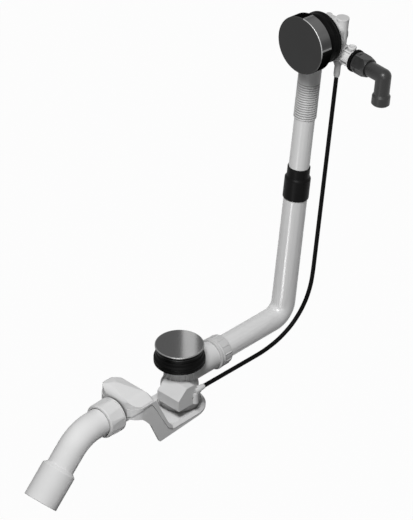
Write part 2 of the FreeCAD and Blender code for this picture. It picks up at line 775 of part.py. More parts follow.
def trap_section(inset):
    """Side outline of the water way: tray, slanted riser, crest and chamber, inset by a wall."""
    section = outline([
        (TRAP_FAR_X, floor_at(TRAP_FAR_X)),
        (-52.5, floor_at(-52.5), 12.0),
        (-108.0, -49.0, 10.0),
        (TRAP_END_X, -46.3),
        (TRAP_END_X, TRAP_TOP_Z - 3.0, 11.0),
        (-108.0, TRAP_TOP_Z, 14.0),
        (CREST_X, CREST_Z, 10.0),
        (-58.5, -78.0, 10.0),
        (-50.0, ROOF_Z, 8.0),
        (TRAP_FAR_X, ROOF_Z),
    ], on_xz)
    if inset > 0:
        section = Part.Face(section.OuterWire.makeOffset2D(-inset, 2))
    return section


def extruded_section(inset, half_width):
    face = trap_section(inset)
    face.translate(Vector(0, -half_width, 0))
    return face.extrude(Vector(0, 2 * half_width, 0))


def trap_plan(grow, z_from, z_to):
    """Plan outline: round about the waste axis at +X, rounded corners at the outlet end."""
    half = TRAP_HALF_W + grow
    end = TRAP_END_X - grow
    corner = TRAP_CORNER_R + grow
    points = [
        (0, -half),
        (0, half),
        (end, half, corner),
        (end, -half, corner),
    ]
    straight = plan_prism(points, z_from, z_to)
    nose = rod(half, Vector(0, 0, z_from), Vector(0, 0, z_to))
    return straight.fuse(nose)


def trap_arch(inset):
    """Front outline of the upper shell, extruded along X: domed over the chamber."""
    half = TRAP_HALF_W - inset
    top_z = TRAP_TOP_Z - inset
    return front_prism([
        (-half, -130),
        (half, -130),
        (half, REAR_SHOULDER_Z - inset, 9.0),
        (half - 19, top_z, 20.0),
        (-half + 14, top_z - 5.6, 14.0),
        (-half, FRONT_SHOULDER_Z - inset, 4.0),
    ], -170, 60)


def hips(inset):
    """Diagonal limits of the chamber: flat above, turned down at the ends of the crest."""
    top_z = TRAP_TOP_Z + 0.1 - inset
    reach = 200.0
    turn = HIP_START + (HIP_R - inset) * math.tan(math.radians(22.5))
    profile = [
        (-reach, -130),
        (reach, -130),
        (reach, HIP_FOOT_Z - inset),
        (turn + top_z + inset - HIP_FOOT_Z, HIP_FOOT_Z - inset),
        (turn, top_z, HIP_R - inset),
        (-reach, top_z),
    ]
    ridge = side_prism(profile, -reach, reach)
    ridge.rotate(Vector(0, 0, 0), UP, 45)
    mirrored = side_prism(profile, -reach, reach)
    mirrored.rotate(Vector(0, 0, 0), UP, -45)
    return ridge.common(mirrored)


SEAM = [
    (-131, -42.5),
    (-122, -41.5),
    (-116, -36.5, 8.0),
    (-104, -31.5, 10.0),
    (-90, -31.3, 4.0),
    (-84, -41.0, 10.0),
    (-59, -86.4, 10.0),
    (-48, -94.2, 8.0),
    (60, -93.0),
]


def rim_band():
    """Welded rim of the two shells: follows the seam on both sides and round the nose."""
    top = [(60, -70), (-48, -70), (-70, -29), (-131, -29)]
    band = side_prism(SEAM + top, -60, 60)
    return band.common(trap_plan(RIM_PROUD, -130, 0)).common(extruded_section(0, 60))


def cheeks():
    """Side webs that stiffen the slanted riser and stand on the lower corner."""
    points = [
        (-45.0, floor_at(-45.0)),
        (-74.0, floor_at(-74.0), 3.5),
        (-91.0, -67.0, 8.0),
        (-105.5, -50.0),
        (-84.0, -50.0),
    ]
    right = side_prism(points, -TRAP_HALF_W, -TRAP_HALF_W + CHEEK_T)
    left = side_prism(points, TRAP_HALF_W - CHEEK_T, TRAP_HALF_W)
    return right, left


def tray_fall():
    """What the tray loses where its top falls from a bead to the welded rim."""
    reach = TRAP_HALF_W + 6
    fall = (TRAY_RIM_Z - ROOF_Z) / (TRAP_HALF_W - TRAY_BEAD_R)
    low = ROOF_Z + fall * (reach - TRAY_BEAD_R)
    round_nose = turned([
        (TRAY_BEAD_R, ROOF_Z),
        (reach, low),
        (reach, ROOF_Z + 1),
        (TRAY_BEAD_R, ROOF_Z + 1),
    ])
    beyond_axis = Part.makeBox(reach * 2, reach * 2, 40, Vector(0, -reach, ROOF_Z - 30))
    lost = round_nose.common(beyond_axis)
    for side in (-1, 1):
        edge = outline([
            (side * TRAY_BEAD_R, ROOF_Z),
            (side * reach, low),
            (side * reach, ROOF_Z + 1),
            (side * TRAY_BEAD_R, ROOF_Z + 1),
        ], lambda y, z: Vector(0, y, z))
        lost = lost.fuse(edge.extrude(Vector(TRAY_START_X, 0, 0)))
    return lost


def trap_whole():
    outlet = Vector(0, 0, OUTLET_Z)
    core = extruded_section(0, 60).common(trap_plan(0, -130, 0))
    core = core.common(trap_arch(0)).common(hips(0))
    neck = rod(OUTLET_NECK_R, outlet + Vector(-96, 0, 0), outlet + Vector(OUTLET_NUT_END, 0, 0))
    thread = rod(OUTLET_THREAD_R, outlet + Vector(OUTLET_NUT_END, 0, 0),
                 outlet + Vector(OUTLET_MOUTH_X, 0, 0))
    collar = rod(COLLAR_R, Vector(0, 0, ROOF_Z - 1), Vector(0, 0, BARREL_BOTTOM))
    outer = union(core, rim_band(), *cheeks(), neck, thread, collar)
    dish = turned([
        (COLLAR_R - 0.2, ROOF_Z + 0.5),
        (COLLAR_R - 0.2, ROOF_Z - DISH_DEPTH),
        (COLLAR_R + DISH_WIDTH - 1.0, ROOF_Z - DISH_DEPTH, 1.0),
        (COLLAR_R + DISH_WIDTH, ROOF_Z + 0.5),
    ])
    inner = extruded_section(TRAP_WALL, 60).common(trap_plan(-TRAP_WALL, -130, 0))
    inner = inner.common(trap_arch(TRAP_WALL)).common(hips(TRAP_WALL))
    neck_bore = rod(OUTLET_NECK_BORE_R, outlet + Vector(-90, 0, 0),
                    outlet + Vector(OUTLET_MOUTH_X - 1, 0, 0))
    socket = rod(BEND_PIPE_R + RUNNING, outlet + Vector(OUTLET_STOP_X, 0, 0),
                 outlet + Vector(OUTLET_MOUTH_X - 1, 0, 0))
    inlet = rod(SPIGOT_R + SLIP, Vector(0, 0, ROOF_Z - TRAP_WALL - 0.4), Vector(0, 0, BARREL_BOTTOM + 1))
    return outer.cut(dish).cut(tray_fall()).cut(inner).cut(neck_bore).cut(socket).cut(inlet)


def trap_shells():
    whole = trap_whole()
    above = side_prism(SEAM + [(60, 20), (-131, 20)], -70, 70)
    around_neck = rod(OUTLET_THREAD_R + 1, Vector(-170, 0, OUTLET_Z), Vector(TRAP_END_X + 0.6, 0, OUTLET_Z))
    upper = whole.common(above.cut(around_neck))
    lower = whole.cut(above.cut(around_neck))
    return lower, upper


# Outlet union and bend

def outlet_nut():
    length = OUTLET_NUT_END - OUTLET_NUT_START
    bore = OUTLET_THREAD_R + SLIP
    lip = BEND_PIPE_R + RUNNING
    shell = turned([
        (bore, 0),
        (OUTLET_NUT_R - 0.6, 0, 1.2),
        (OUTLET_NUT_R, 5.0),
        (OUTLET_NUT_R - 0.8, length, 2.2),
        (lip + 0.6, length, 0.6),
        (lip, length - 1.4),
        (lip, length - 2.6),
        (bore, length - 4.8),
    ])
    flat = Part.makeBox(6, 13, length - 6, Vector(OUTLET_NUT_R - 1.1, -6.5, 3.0))
    for cutter in ring_of(flat, OUTLET_NUT_GRIPS, Vector(0, 0, 0), UP, 18):
        shell = shell.cut(cutter)
    return placed(shell, Vector(OUTLET_NUT_END, 0, OUTLET_Z), ALONG_X * -1)


def outlet_seal():
    start = -OUTLET_MOUTH_X + OUTLET_NUT_END
    length = OUTLET_NUT_END - OUTLET_NUT_START
    seal = turned([
        (BEND_PIPE_R + RUNNING, start),
        (OUTLET_THREAD_R, start),
        (OUTLET_THREAD_R, length - 5.0),
        (BEND_PIPE_R + RUNNING, length - 2.9),
    ])
    return placed(seal, Vector(OUTLET_NUT_END, 0, OUTLET_Z), ALONG_X * -1)


BEND = math.radians(BEND_ANGLE)
BEND_CORNER = Vector(BEND_CORNER_X, 0, OUTLET_Z)
BEND_DOWN = Vector(-math.cos(BEND), 0, -math.sin(BEND))


def outlet_bend():
    start = Vector(OUTLET_STOP_X - 0.5, 0, OUTLET_Z)
    pipe_end = BEND_CORNER + BEND_DOWN * BEND_LEG
    outer, _ = bent_rod(BEND_PIPE_R, [start, BEND_CORNER, pipe_end], [BEND_R])
    inner, _ = bent_rod(BEND_PIPE_R - BEND_WALL, [start, BEND_CORNER, pipe_end], [BEND_R])
    wide = turned([
        (0, -OUTLET_SHOULDER),
        (BEND_PIPE_R, -OUTLET_SHOULDER),
        (OUTLET_SPIGOT_R, 0.6, 1.5),
        (OUTLET_SPIGOT_R, OUTLET_SPIGOT_LENGTH, 0.8),
        (0, OUTLET_SPIGOT_LENGTH),
    ])
    wide_bore = turned([
        (0, -OUTLET_SHOULDER - 0.5),
        (BEND_PIPE_R - BEND_WALL, -OUTLET_SHOULDER - 0.5),
        (BEND_PIPE_R - BEND_WALL, -OUTLET_SHOULDER + 1),
        (OUTLET_SPIGOT_R - BEND_WALL, 3.0),
        (OUTLET_SPIGOT_R - BEND_WALL, OUTLET_SPIGOT_LENGTH + 1),
        (0, OUTLET_SPIGOT_LENGTH + 1),
    ])
    body = union(outer, placed(wide, pipe_end, BEND_DOWN))
    return body.cut(inner).cut(placed(wide_bore, pipe_end, BEND_DOWN))


# Overflow head

def knob():
    shell = head_turned([
        (0, 0),
        (KNOB_R, 0, KNOB_CHAMFER),
        (KNOB_R, KNOB_DEPTH, 0.8),
        (KNOB_R - KNOB_WALL, KNOB_DEPTH),
        (KNOB_R - KNOB_WALL, KNOB_FACE_T, 2.0),
        (KNOB_HUB_R, KNOB_FACE_T),
        (KNOB_HUB_R, KNOB_HUB_DEPTH),
        (0, KNOB_HUB_DEPTH),
    ])
    rim = KNOB_R - KNOB_GRIP_DEPTH
    recess = at_head(rod(KNOB_R + 2, Vector(1.6, 0, 0), Vector(KNOB_DEPTH + 1, 0, 0)).cut(
        rod(rim, Vector(1, 0, 0), Vector(KNOB_DEPTH + 2, 0, 0))))
    for y_side, z_side in ((-1, 1), (1, -1)):
        corner = Vector(0, -60 if y_side < 0 else 0, 8 if z_side > 0 else -68)
        quarter = Part.makeBox(KNOB_DEPTH + 4, 60, 60, corner)
        shell = shell.cut(recess.common(at_head(quarter)))
    bore = at_head(rod(SPINDLE_R + SLIP / 4, Vector(KNOB_FACE_T + 1, 0, 0), Vector(KNOB_HUB_DEPTH + 1, 0, 0)))
    screw_way = at_head(rod(2.1, Vector(9.5, 0, -KNOB_R - 1), Vector(9.5, 0, -SPINDLE_R)))
    return shell.cut(bore).cut(screw_way)


def knob_screw():
    return at_head(rod(2.0, Vector(9.5, 0, -KNOB_HUB_R), Vector(9.5, 0, -SPINDLE_R)))


def knob_spindle():
    return at_head(rod(SPINDLE_R, Vector(KNOB_FACE_T + 1.2, 0, 0), Vector(DRUM_CASE_BACK - 0.6, 0, 0)))


def cable_drum():
    end = DRUM_START + DRUM_LENGTH
    middle = DRUM_START + DRUM_LENGTH / 2
    return head_turned([
        (SPINDLE_R + SLIP / 4, DRUM_START),
        (DRUM_FLANGE_R, DRUM_START),
        (DRUM_FLANGE_R, DRUM_START + 1.6),
        (DRUM_R, middle),
        (DRUM_FLANGE_R, end - 1.6),
        (DRUM_FLANGE_R, end),
        (SPINDLE_R + SLIP / 4, end),
    ])


def overflow_flange():
    """Metal plate that clamps the bath wall on the gasket, with slots for the water."""
    plate = head_turned([
        (SPINDLE_R + 1.0, HEAD_FLANGE_X),
        (HEAD_FLANGE_R, HEAD_FLANGE_X, 0.5),
        (HEAD_FLANGE_R, HEAD_FLANGE_X + HEAD_FLANGE_T),
        (SPINDLE_R + 1.0, HEAD_FLANGE_X + HEAD_FLANGE_T),
    ])
    for y in (-HEAD_SCREW_Y, HEAD_SCREW_Y):
        hole = at_head(rod(HEAD_SCREW_R + SLIP, Vector(HEAD_FLANGE_X - 1, y, 0),
                           Vector(HEAD_FLANGE_X + 3, y, 0)))
        plate = plate.cut(hole)
    slot = placed(rod(3.2, Vector(0, 0, 0), Vector(0, 0, 4)), Vector(HEAD_FLANGE_X - 1, 0, 20), ALONG_X)
    for angle in (-40, -20, 0, 20, 40, 140, 160, 180, 200, 220):
        window = slot.copy()
        window.rotate(Vector(0, 0, 0), ALONG_X, angle)
        plate = plate.cut(at_head(window))
    return plate


def flange_screws():
    screws = []
    for y in (-HEAD_SCREW_Y, HEAD_SCREW_Y):
        shank = rod(HEAD_SCREW_R, Vector(HEAD_FLANGE_X, y, 0), Vector(HEAD_GASKET_END + CASE_FRONT_T, y, 0))
        head = rod(HEAD_SCREW_HEAD_R, Vector(HEAD_FLANGE_X - 2.4, y, 0), Vector(HEAD_FLANGE_X, y, 0))
        screws.append(at_head(union(shank, head)))
    return Part.makeCompound(screws)


def overflow_gasket():
    start = HEAD_GASKET_START
    end = HEAD_GASKET_END
    r = HEAD_GASKET_R
    return head_turned([
        (HEAD_GASKET_BORE_R, start),
        (r - 3.0, start, 1.0),
        (r - 2.6, start + 4.0, 0.8),
        (r - 4.6, start + 6.0, 0.8),
        (r - 4.2, start + 8.5, 0.8),
        (r - 0.6, start + 11.0, 1.0),
        (r, start + 14.5, 1.0),
        (r - 1.6, start + 16.5, 0.6),
        (r - 1.2, start + 18.2, 0.6),
        (r + 0.1, start + 19.6, 0.6),
        (r, end, 0.8),
        (HEAD_GASKET_BORE_R, end),
    ])


def case_outline():
    """Back outline of the overflow case: drum side, high shoulder, low column port side."""
    return [
        (-22.5, -32.0, 5.0),
        (-22.5, 14.0, 8.0),
        (-9.0, 28.5, 6.0),
        (10.0, 27.0, 9.0),
        (30.0, 10.0, 14.0),
        (47.5, -10.0, 12.0),
        (47.5, -40.0, 4.0),
        (14.0, -40.0, 4.0),
        (6.0, -32.0, 6.0),
    ]


def overflow_body():
    front = HEAD_GASKET_END
    plate = placed(turned([
        (0, front),
        (CASE_FRONT_R, front, 1.0),
        (CASE_FRONT_R, front + CASE_FRONT_T, 1.0),
        (0, front + CASE_FRONT_T),
    ]), Vector(0, 0, 0), ALONG_X)
    case = front_prism(case_outline(), front + CASE_FRONT_T - 1, CASE_BACK)
    drum_case = rod(DRUM_CASE_R, Vector(CASE_BACK - 6, 0, 0), Vector(DRUM_CASE_BACK, 0, 0))
    column = Vector(COLUMN_DEPTH, KNOB_OFFSET, 0)
    tail_top = TAIL_TOP - HEAD_RISE
    port = rod(TAIL_R + 2.8, column + Vector(0, 0, tail_top - 14), column + Vector(0, 0, -8))
    port_bead = rod(TAIL_R + 3.6, column + Vector(0, 0, tail_top - 14),
                    column + Vector(0, 0, tail_top - 10))
    post = rod(POST_R, Vector(POST_DEPTH, POST_Y, POST_BOTTOM), Vector(POST_DEPTH, POST_Y, POST_TOP))
    exit_cone = Part.makeCone(HIGH_FERRULE_R + 0.9, 8.6, 8.0,
                              Vector(POST_DEPTH, CABLE_EXIT_Y, CABLE_EXIT_TOP - 6.0), UP)
    stub_start = Vector(SUPPLY_DEPTH, -18, SUPPLY_Z)
    stub = rod(SUPPLY_STUB_R, stub_start, Vector(SUPPLY_DEPTH, SUPPLY_STUB_END, SUPPLY_Z))
    stub_root = rod(SUPPLY_STUB_R + 2.4, stub_start, Vector(SUPPLY_DEPTH, STUB_ROOT_END, SUPPLY_Z))
    web = Part.makeBox(STUB_WEB_T, SUPPLY_RING_Y * -1 - 20, SUPPLY_STUB_R + 2.4,
                       Vector(SUPPLY_DEPTH - STUB_WEB_T / 2, SUPPLY_RING_Y, SUPPLY_Z))
    stub_webs = ring_of(web, STUB_WEBS, stub_start, ALONG_Y, 30)
    stub_flange = rod(SUPPLY_STUB_R + 3.4, Vector(SUPPLY_DEPTH, SUPPLY_RING_Y + 2.4, SUPPLY_Z),
                      Vector(SUPPLY_DEPTH, SUPPLY_RING_Y, SUPPLY_Z))
    vent = rod(VENT_R, Vector(SUPPLY_DEPTH, VENT_Y, SUPPLY_Z), Vector(SUPPLY_DEPTH, VENT_Y, VENT_TOP))
    top_boss = rod(4.4, Vector(CASE_BACK - 2.5, 6.0, 10), Vector(CASE_BACK - 2.5, 6.0, 28.0))
    outer = union(plate, case, drum_case, port, port_bead, post, exit_cone, stub, stub_root,
                  stub_flange, vent, top_boss, *stub_webs)

    water_way = rod(HEAD_GASKET_BORE_R - 2, Vector(front - 1, 0, 0), Vector(57, 0, 0))
    link = front_prism([
        (4, -26, 3),
        (KNOB_OFFSET + 12, -26, 3),
        (KNOB_OFFSET + 8, -6, 3),
        (4, 8, 3),
    ], 49, 57)
    down = rod(UPPER_TUBE_R - UPPER_TUBE_WALL, column + Vector(0, 0, -45), column + Vector(0, 0, -12))
    socket = rod(TAIL_R + SLIP, column + Vector(0, 0, tail_top - 15), column + Vector(0, 0, tail_top))
    feed = rod(5.0, Vector(62, -27, SUPPLY_Z + 1), Vector(52, -15, -14))
    gasket_space = rod(HEAD_GASKET_R + 1, Vector(HEAD_GASKET_START, 0, 0), Vector(front, 0, 0))
    chamber = rod(DRUM_CHAMBER_R, Vector(DRUM_CHAMBER_START, 0, 0), Vector(DRUM_CASE_BACK + 1, 0, 0))
    bearing = rod(SPINDLE_R + PIN_FIT, Vector(50, 0, 0), Vector(70, 0, 0))
    post_bore = rod(POST_BORE_R, Vector(POST_DEPTH, POST_Y, 17.5), Vector(POST_DEPTH, POST_Y, POST_TOP + 1))
    wire_way = rod(1.8, Vector(POST_DEPTH, CABLE_EXIT_Y, -50), Vector(POST_DEPTH, CABLE_EXIT_Y, 0))
    ferrule_way = rod(HIGH_FERRULE_R + SLIP / 2, Vector(POST_DEPTH, CABLE_EXIT_Y, -60),
                      Vector(POST_DEPTH, CABLE_EXIT_Y, CABLE_EXIT_TOP))
    supply_bore = rod(SUPPLY_BORE_R, Vector(SUPPLY_DEPTH, -24, SUPPLY_Z),
                      Vector(SUPPLY_DEPTH, SUPPLY_STUB_END - 1, SUPPLY_Z))
    cover_seat = rod(REAR_COVER_R + SLIP, Vector(DRUM_CASE_BACK, 0, 0), Vector(DRUM_CASE_BACK + 20, 0, 0))
    cap_seat = rod(POST_R + 0.3 + SLIP, Vector(POST_DEPTH, POST_Y, POST_TOP),
                   Vector(POST_DEPTH, POST_Y, POST_TOP + 20))
    vent_hole = rod(VENT_PLUG_R + SLIP, Vector(SUPPLY_DEPTH, VENT_Y, VENT_TOP - 4),
                    Vector(SUPPLY_DEPTH, VENT_Y, VENT_TOP + 1))
    vent_way = rod(1.0, Vector(SUPPLY_DEPTH, VENT_Y, SUPPLY_Z), Vector(SUPPLY_DEPTH, VENT_Y, VENT_TOP))
    body = outer
    cutters = [water_way, link, down, socket, feed, gasket_space, chamber, bearing]
    cutters += [post_bore, wire_way, ferrule_way, supply_bore, cover_seat, cap_seat, vent_hole, vent_way]
    for cutter in cutters:
        body = body.cut(cutter)
    for y in (-HEAD_SCREW_Y, HEAD_SCREW_Y):
        screw_way = rod(HEAD_SCREW_R, Vector(front - 1, y, 0), Vector(front + CASE_FRONT_T, y, 0))
        pillar = rod(5.0, Vector(front, y, 0), Vector(57.5, y, 0)).cut(screw_way)
        body = body.cut(screw_way).fuse(pillar)
    return at_head(max(body.Solids, key=lambda solid: solid.Volume))


def rear_cover():
    return head_turned([
        (0, DRUM_CASE_BACK),
        (REAR_COVER_R, DRUM_CASE_BACK),
        (REAR_COVER_R, DRUM_CASE_BACK + REAR_COVER_T, 1.0),
        (0, DRUM_CASE_BACK + REAR_COVER_T),
    ])


def valve_cap():
    return at_head(placed(turned([
        (0, -6.0),
        (POST_BORE_R - SLIP, -6.0),
        (POST_BORE_R - SLIP, 0),
        (POST_R + 0.3, 0, 0.5),
        (POST_R + 0.3, VALVE_CAP_H, 0.8),
        (0, VALVE_CAP_H),
    ]), Vector(POST_DEPTH, POST_Y, POST_TOP), UP))


def vent_plug():
    return at_head(placed(turned([
        (0, -3.6),
        (VENT_PLUG_R, -3.6),
        (VENT_PLUG_R, 0),
        (VENT_CAP_R, 0, 0.4),
        (VENT_CAP_R, VENT_CAP_H, 0.8),
        (VENT_CAP_R - 1.8, VENT_CAP_H, 0.5),
        (VENT_CAP_R - 2.2, VENT_CAP_H - 1.4),
        (0, VENT_CAP_H - 1.4),
    ]), Vector(SUPPLY_DEPTH, VENT_Y, VENT_TOP), UP))


def supply_ring():
    ring = turned([
        (SUPPLY_STUB_R + SLIP, 0),
        (SUPPLY_RING_R, 0, 0.7),
        (SUPPLY_RING_R, SUPPLY_RING_T, 0.7),
        (SUPPLY_STUB_R + SLIP, SUPPLY_RING_T),
    ])
    return at_head(placed(ring, Vector(SUPPLY_DEPTH, SUPPLY_RING_Y, SUPPLY_Z), ALONG_Y * -1))


def supply_nut():
    """Hexagon union nut with chamfered corners and a round collar towards the body."""
    length = SUPPLY_NUT_START - SUPPLY_NUT_END
    across = SUPPLY_NUT_AF / 2 / math.cos(math.radians(30))
    corners = [(across * math.cos(math.radians(60 * i)), across * math.sin(math.radians(60 * i)))
               for i in range(6)]
    hexagon = plan_prism(corners, 0, length)
    blank = turned([
        (0, 0),
        (across - 1.8, 0),
        (across, 1.6),
        (across, length - 7.0),
        (SUPPLY_PIPE_R + 2.4, length),
        (0, length),
    ])
    collar = rod(SUPPLY_NUT_AF / 2 + 0.9, Vector(0, 0, 0), Vector(0, 0, 4.5))
    nut = union(hexagon.common(blank), collar)
    bore = rod(SUPPLY_STUB_R + SLIP, Vector(0, 0, -1), Vector(0, 0, 17.0))
    mouth = rod(SUPPLY_PIPE_R + RUNNING, Vector(0, 0, 16.0), Vector(0, 0, length + 1))
    nut = nut.cut(bore).cut(mouth)
    return at_head(placed(nut, Vector(SUPPLY_DEPTH, SUPPLY_NUT_START, SUPPLY_Z), ALONG_Y * -1))


def supply_seal():
    washer = turned([
        (SUPPLY_BORE_R, 0),
        (SUPPLY_STUB_R - 0.2, 0),
        (SUPPLY_STUB_R - 0.2, 2.0),
        (SUPPLY_BORE_R, 2.0),
    ])
    return at_head(placed(washer, Vector(SUPPLY_DEPTH, SUPPLY_STUB_END, SUPPLY_Z), ALONG_Y * -1))


def knee(radius, start, corner, end):
    """Two straight bars that meet in a ball."""
    ball = Part.makeSphere(radius, corner)
    return union(rod(radius, start, corner), rod(radius, corner, end), ball)


def supply_elbow():
    start = Vector(SUPPLY_DEPTH, SUPPLY_STUB_END - 2.0 - RUNNING, SUPPLY_Z)
    corner = Vector(SUPPLY_DEPTH, SUPPLY_ELBOW_Y, SUPPLY_Z)
    neck_end = corner + Vector(0, 0, -SUPPLY_DROP + SUPPLY_THREAD_LENGTH)
    end = corner + Vector(0, 0, -SUPPLY_DROP)
    outer = knee(SUPPLY_PIPE_R, start, corner, end)
    inner = knee(SUPPLY_BORE_R, start, corner, end)
    head = placed(turned([
        (0, 0),
        (SUPPLY_STUB_R - RUNNING, 0, 0.5),
        (SUPPLY_STUB_R - RUNNING, 2.0),
        (0, 2.0),
    ]), start, ALONG_Y * -1)
    threaded = placed(turned([
        (0, -3.0),
        (SUPPLY_PIPE_R, -3.0),
        (SUPPLY_THREAD_R, 0.5, 1.0),
        (SUPPLY_THREAD_R, SUPPLY_THREAD_LENGTH - 1.5),
        (SUPPLY_THREAD_R - 1.5, SUPPLY_THREAD_LENGTH),
        (0, SUPPLY_THREAD_LENGTH),
    ]), neck_end, UP * -1)
    return at_head(union(outer, head, threaded).cut(inner))


# Cable

def ferrule(radius, length):
    return turned([
        (CABLE_BORE_R, 0),
        (radius, 0, 0.5),
        (radius, length - 3.0),
        (radius - 0.4, length - 2.2),
        (radius - 0.4, length, 0.5),
        (CABLE_BORE_R, length),
    ])


def low_ferrule():
    length = LOW_FERRULE_END - LOW_FERRULE_START
    start = Vector(LOW_FERRULE_START, LOW_CABLE_Y, LOW_CABLE_Z)
    return placed(ferrule(LOW_FERRULE_R, length), start, ALONG_X)


def high_ferrule():
    length = CABLE_EXIT_TOP - HIGH_FERRULE_END
    start = Vector(POST_DEPTH, CABLE_EXIT_Y, CABLE_EXIT_TOP)
    return at_head(placed(ferrule(HIGH_FERRULE_R, length), start, UP * -1))


def cable_points():
    high = head_point(POST_DEPTH, CABLE_EXIT_Y, HIGH_FERRULE_END - RUNNING)
    low = Vector(LOW_FERRULE_END + RUNNING, LOW_CABLE_Y, LOW_CABLE_Z)
    return [
        high,
        Vector(217.2, -43.3, 43.0),
        Vector(213.4, -42.9, 21.5),
        Vector(205.6, -42.3, 1.0),
        Vector(193.8, -41.6, -16.4),
        Vector(177.4, -40.6, -32.0),
        Vector(154.2, -39.3, -44.3),
        Vector(126.6, -37.6, -51.2),
        low,
    ]


def pull_cable():
    points = cable_points()
    radii = []
    for i in range(1, len(points) - 1):
        before = points[i] - points[i - 1]
        after = points[i + 1] - points[i]
        turn = before.getAngle(after)
        shorter = min(before.Length, after.Length)
        radii.append(0.45 * shorter / math.tan(turn / 2))
    tube, length = bent_rod(CABLE_R, points, radii)
    expected = math.pi * CABLE_R ** 2 * length
    print("cable radii", [round(r, 1) for r in radii], "length", round(length, 1),
          "volume ratio", round(tube.Volume / expected, 5))
    return tube


def main():
    lower_shell, upper_shell = trap_shells()
    pieces = {
        "plug_lid": plug_lid(),
        "plug_seal": plug_seal(),
        "plug_stem": plug_stem(),
        "waste_flange": waste_flange(),
        "clamp_screw": clamp_screw(),
        "waste_gasket": waste_gasket(),
        "waste_body": waste_body(),
        "trap_seal": trap_seal(),
        "lever_housing": lever_housing(),
        "lift_lever": lift_lever(),
        "cable_crank": cable_crank(),
        "low_ferrule": low_ferrule(),
        "leg_nut": leg_nut(),
        "leg_seal": leg_seal(),
        "lower_pipe": lower_pipe(),
        "pipe_sleeve": pipe_sleeve(),
        "upper_tube": upper_tube(),
        "ribbed_tail": ribbed_tail(),
        "trap_lower_shell": lower_shell,
        "trap_upper_shell": upper_shell,
        "outlet_nut": outlet_nut(),
        "outlet_seal": outlet_seal(),
        "outlet_bend": outlet_bend(),
        "knob": knob(),
        "knob_screw": knob_screw(),
        "knob_spindle": knob_spindle(),
        "cable_drum": cable_drum(),
        "overflow_flange": overflow_flange(),
        "flange_screws": flange_screws(),
        "overflow_gasket": overflow_gasket(),
        "overflow_body": overflow_body(),
        "rear_cover": rear_cover(),
        "valve_cap": valve_cap(),
        "vent_plug": vent_plug(),
        "supply_ring": supply_ring(),
        "supply_nut": supply_nut(),
        "supply_seal": supply_seal(),
        "supply_elbow": supply_elbow(),
        "high_ferrule": high_ferrule(),
        "pull_cable": pull_cable(),
    }
    os.makedirs("parts", exist_ok=True)
    for name, shape in pieces.items():
        print(name, "solids", len(shape.Solids), "valid", shape.isValid(), "volume", round(shape.Volume))
        shape.exportStep("parts/" + name + ".step")


main()
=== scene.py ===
import logging
import math
from dataclasses import dataclass
from enum import Enum
from typing import Protocol

import bpy
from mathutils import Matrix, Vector

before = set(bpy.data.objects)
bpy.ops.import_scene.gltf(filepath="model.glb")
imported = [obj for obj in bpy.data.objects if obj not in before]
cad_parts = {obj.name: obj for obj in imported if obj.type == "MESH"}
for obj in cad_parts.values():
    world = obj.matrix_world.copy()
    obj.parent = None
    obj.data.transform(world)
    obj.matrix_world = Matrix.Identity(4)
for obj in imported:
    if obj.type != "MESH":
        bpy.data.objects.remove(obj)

log = logging.getLogger("bath_waste")

IMAGE_WIDTH = 413
IMAGE_HEIGHT = 520
SENSOR_WIDTH = 36.0
MM = 0.001
WHITE = (1.0, 1.0, 1.0, 1.0)

Point = tuple[float, float, float]
Colour = tuple[float, float, float, float]


def grey(level: float) -> Colour:
    """A neutral linear colour from a display level of 0 to 255.

    Args:
        level: The display level.

    Returns:
        The colour as linear red, green, blue and alpha.
    """
    value = level / 255
    linear = value / 12.92 if value <= 0.04045 else ((value + 0.055) / 1.055) ** 2.4
    return (linear, linear, linear, 1.0)


class Signal:
    """A shader socket that takes part in Python expressions."""

    def __init__(self, graph: "NodeGraph", socket: bpy.types.NodeSocket) -> None:
        """Wraps one output socket.

        Args:
            graph: The graph that the socket belongs to.
            socket: The socket.
        """
        self.graph = graph
        self.socket = socket

    def _math(self, operation: str, left: object, right: object) -> "Signal":
        """Adds one Math node.

        Args:
            operation: The node's operation.
            left: The first operand.
            right: The second operand.

        Returns:
            The node's output.
        """
        node = self.graph.node("ShaderNodeMath", {"operation": operation}, {0: left, 1: right})
        return self.graph.out(node, "Value")

    def __add__(self, other: object) -> "Signal":
        """The sum."""
        return self._math("ADD", self, other)

    def __radd__(self, other: object) -> "Signal":
        """The sum, reflected."""
        return self._math("ADD", other, self)

    def __sub__(self, other: object) -> "Signal":
        """The difference."""
        return self._math("SUBTRACT", self, other)

    def __rsub__(self, other: object) -> "Signal":
        """The difference, reflected."""
        return self._math("SUBTRACT", other, self)

    def __mul__(self, other: object) -> "Signal":
        """The product."""
        return self._math("MULTIPLY", self, other)

    def __rmul__(self, other: object) -> "Signal":
        """The product, reflected."""
        return self._math("MULTIPLY", other, self)

    def __pow__(self, other: object) -> "Signal":
        """The power."""
        return self._math("POWER", self, other)

    def distance_from(self, other: object) -> "Signal":
        """The absolute difference.

        Args:
            other: The value to compare with.

        Returns:
            The difference without its sign.
        """
        node = self.graph.node("ShaderNodeMath", {"operation": "ABSOLUTE"}, {0: self - other})
        return self.graph.out(node, "Value")

    def maximum(self, other: object) -> "Signal":
        """The larger of two values.

        Args:
            other: The value to compare with.

        Returns:
            The larger one.
        """
        return self._math("MAXIMUM", self, other)

    def above(self, edge: float, width: float) -> "Signal":
        """A soft step from 0 to 1.

        Args:
            edge: The value at the middle of the step.
            width: The step's width.

        Returns:
            The step.
        """
        node = self.graph.node(
            "ShaderNodeMapRange",
            {"interpolation_type": "SMOOTHSTEP"},
            {"Value": self, "From Min": edge - width / 2, "From Max": edge + width / 2},
        )
        return self.graph.out(node, "Result")


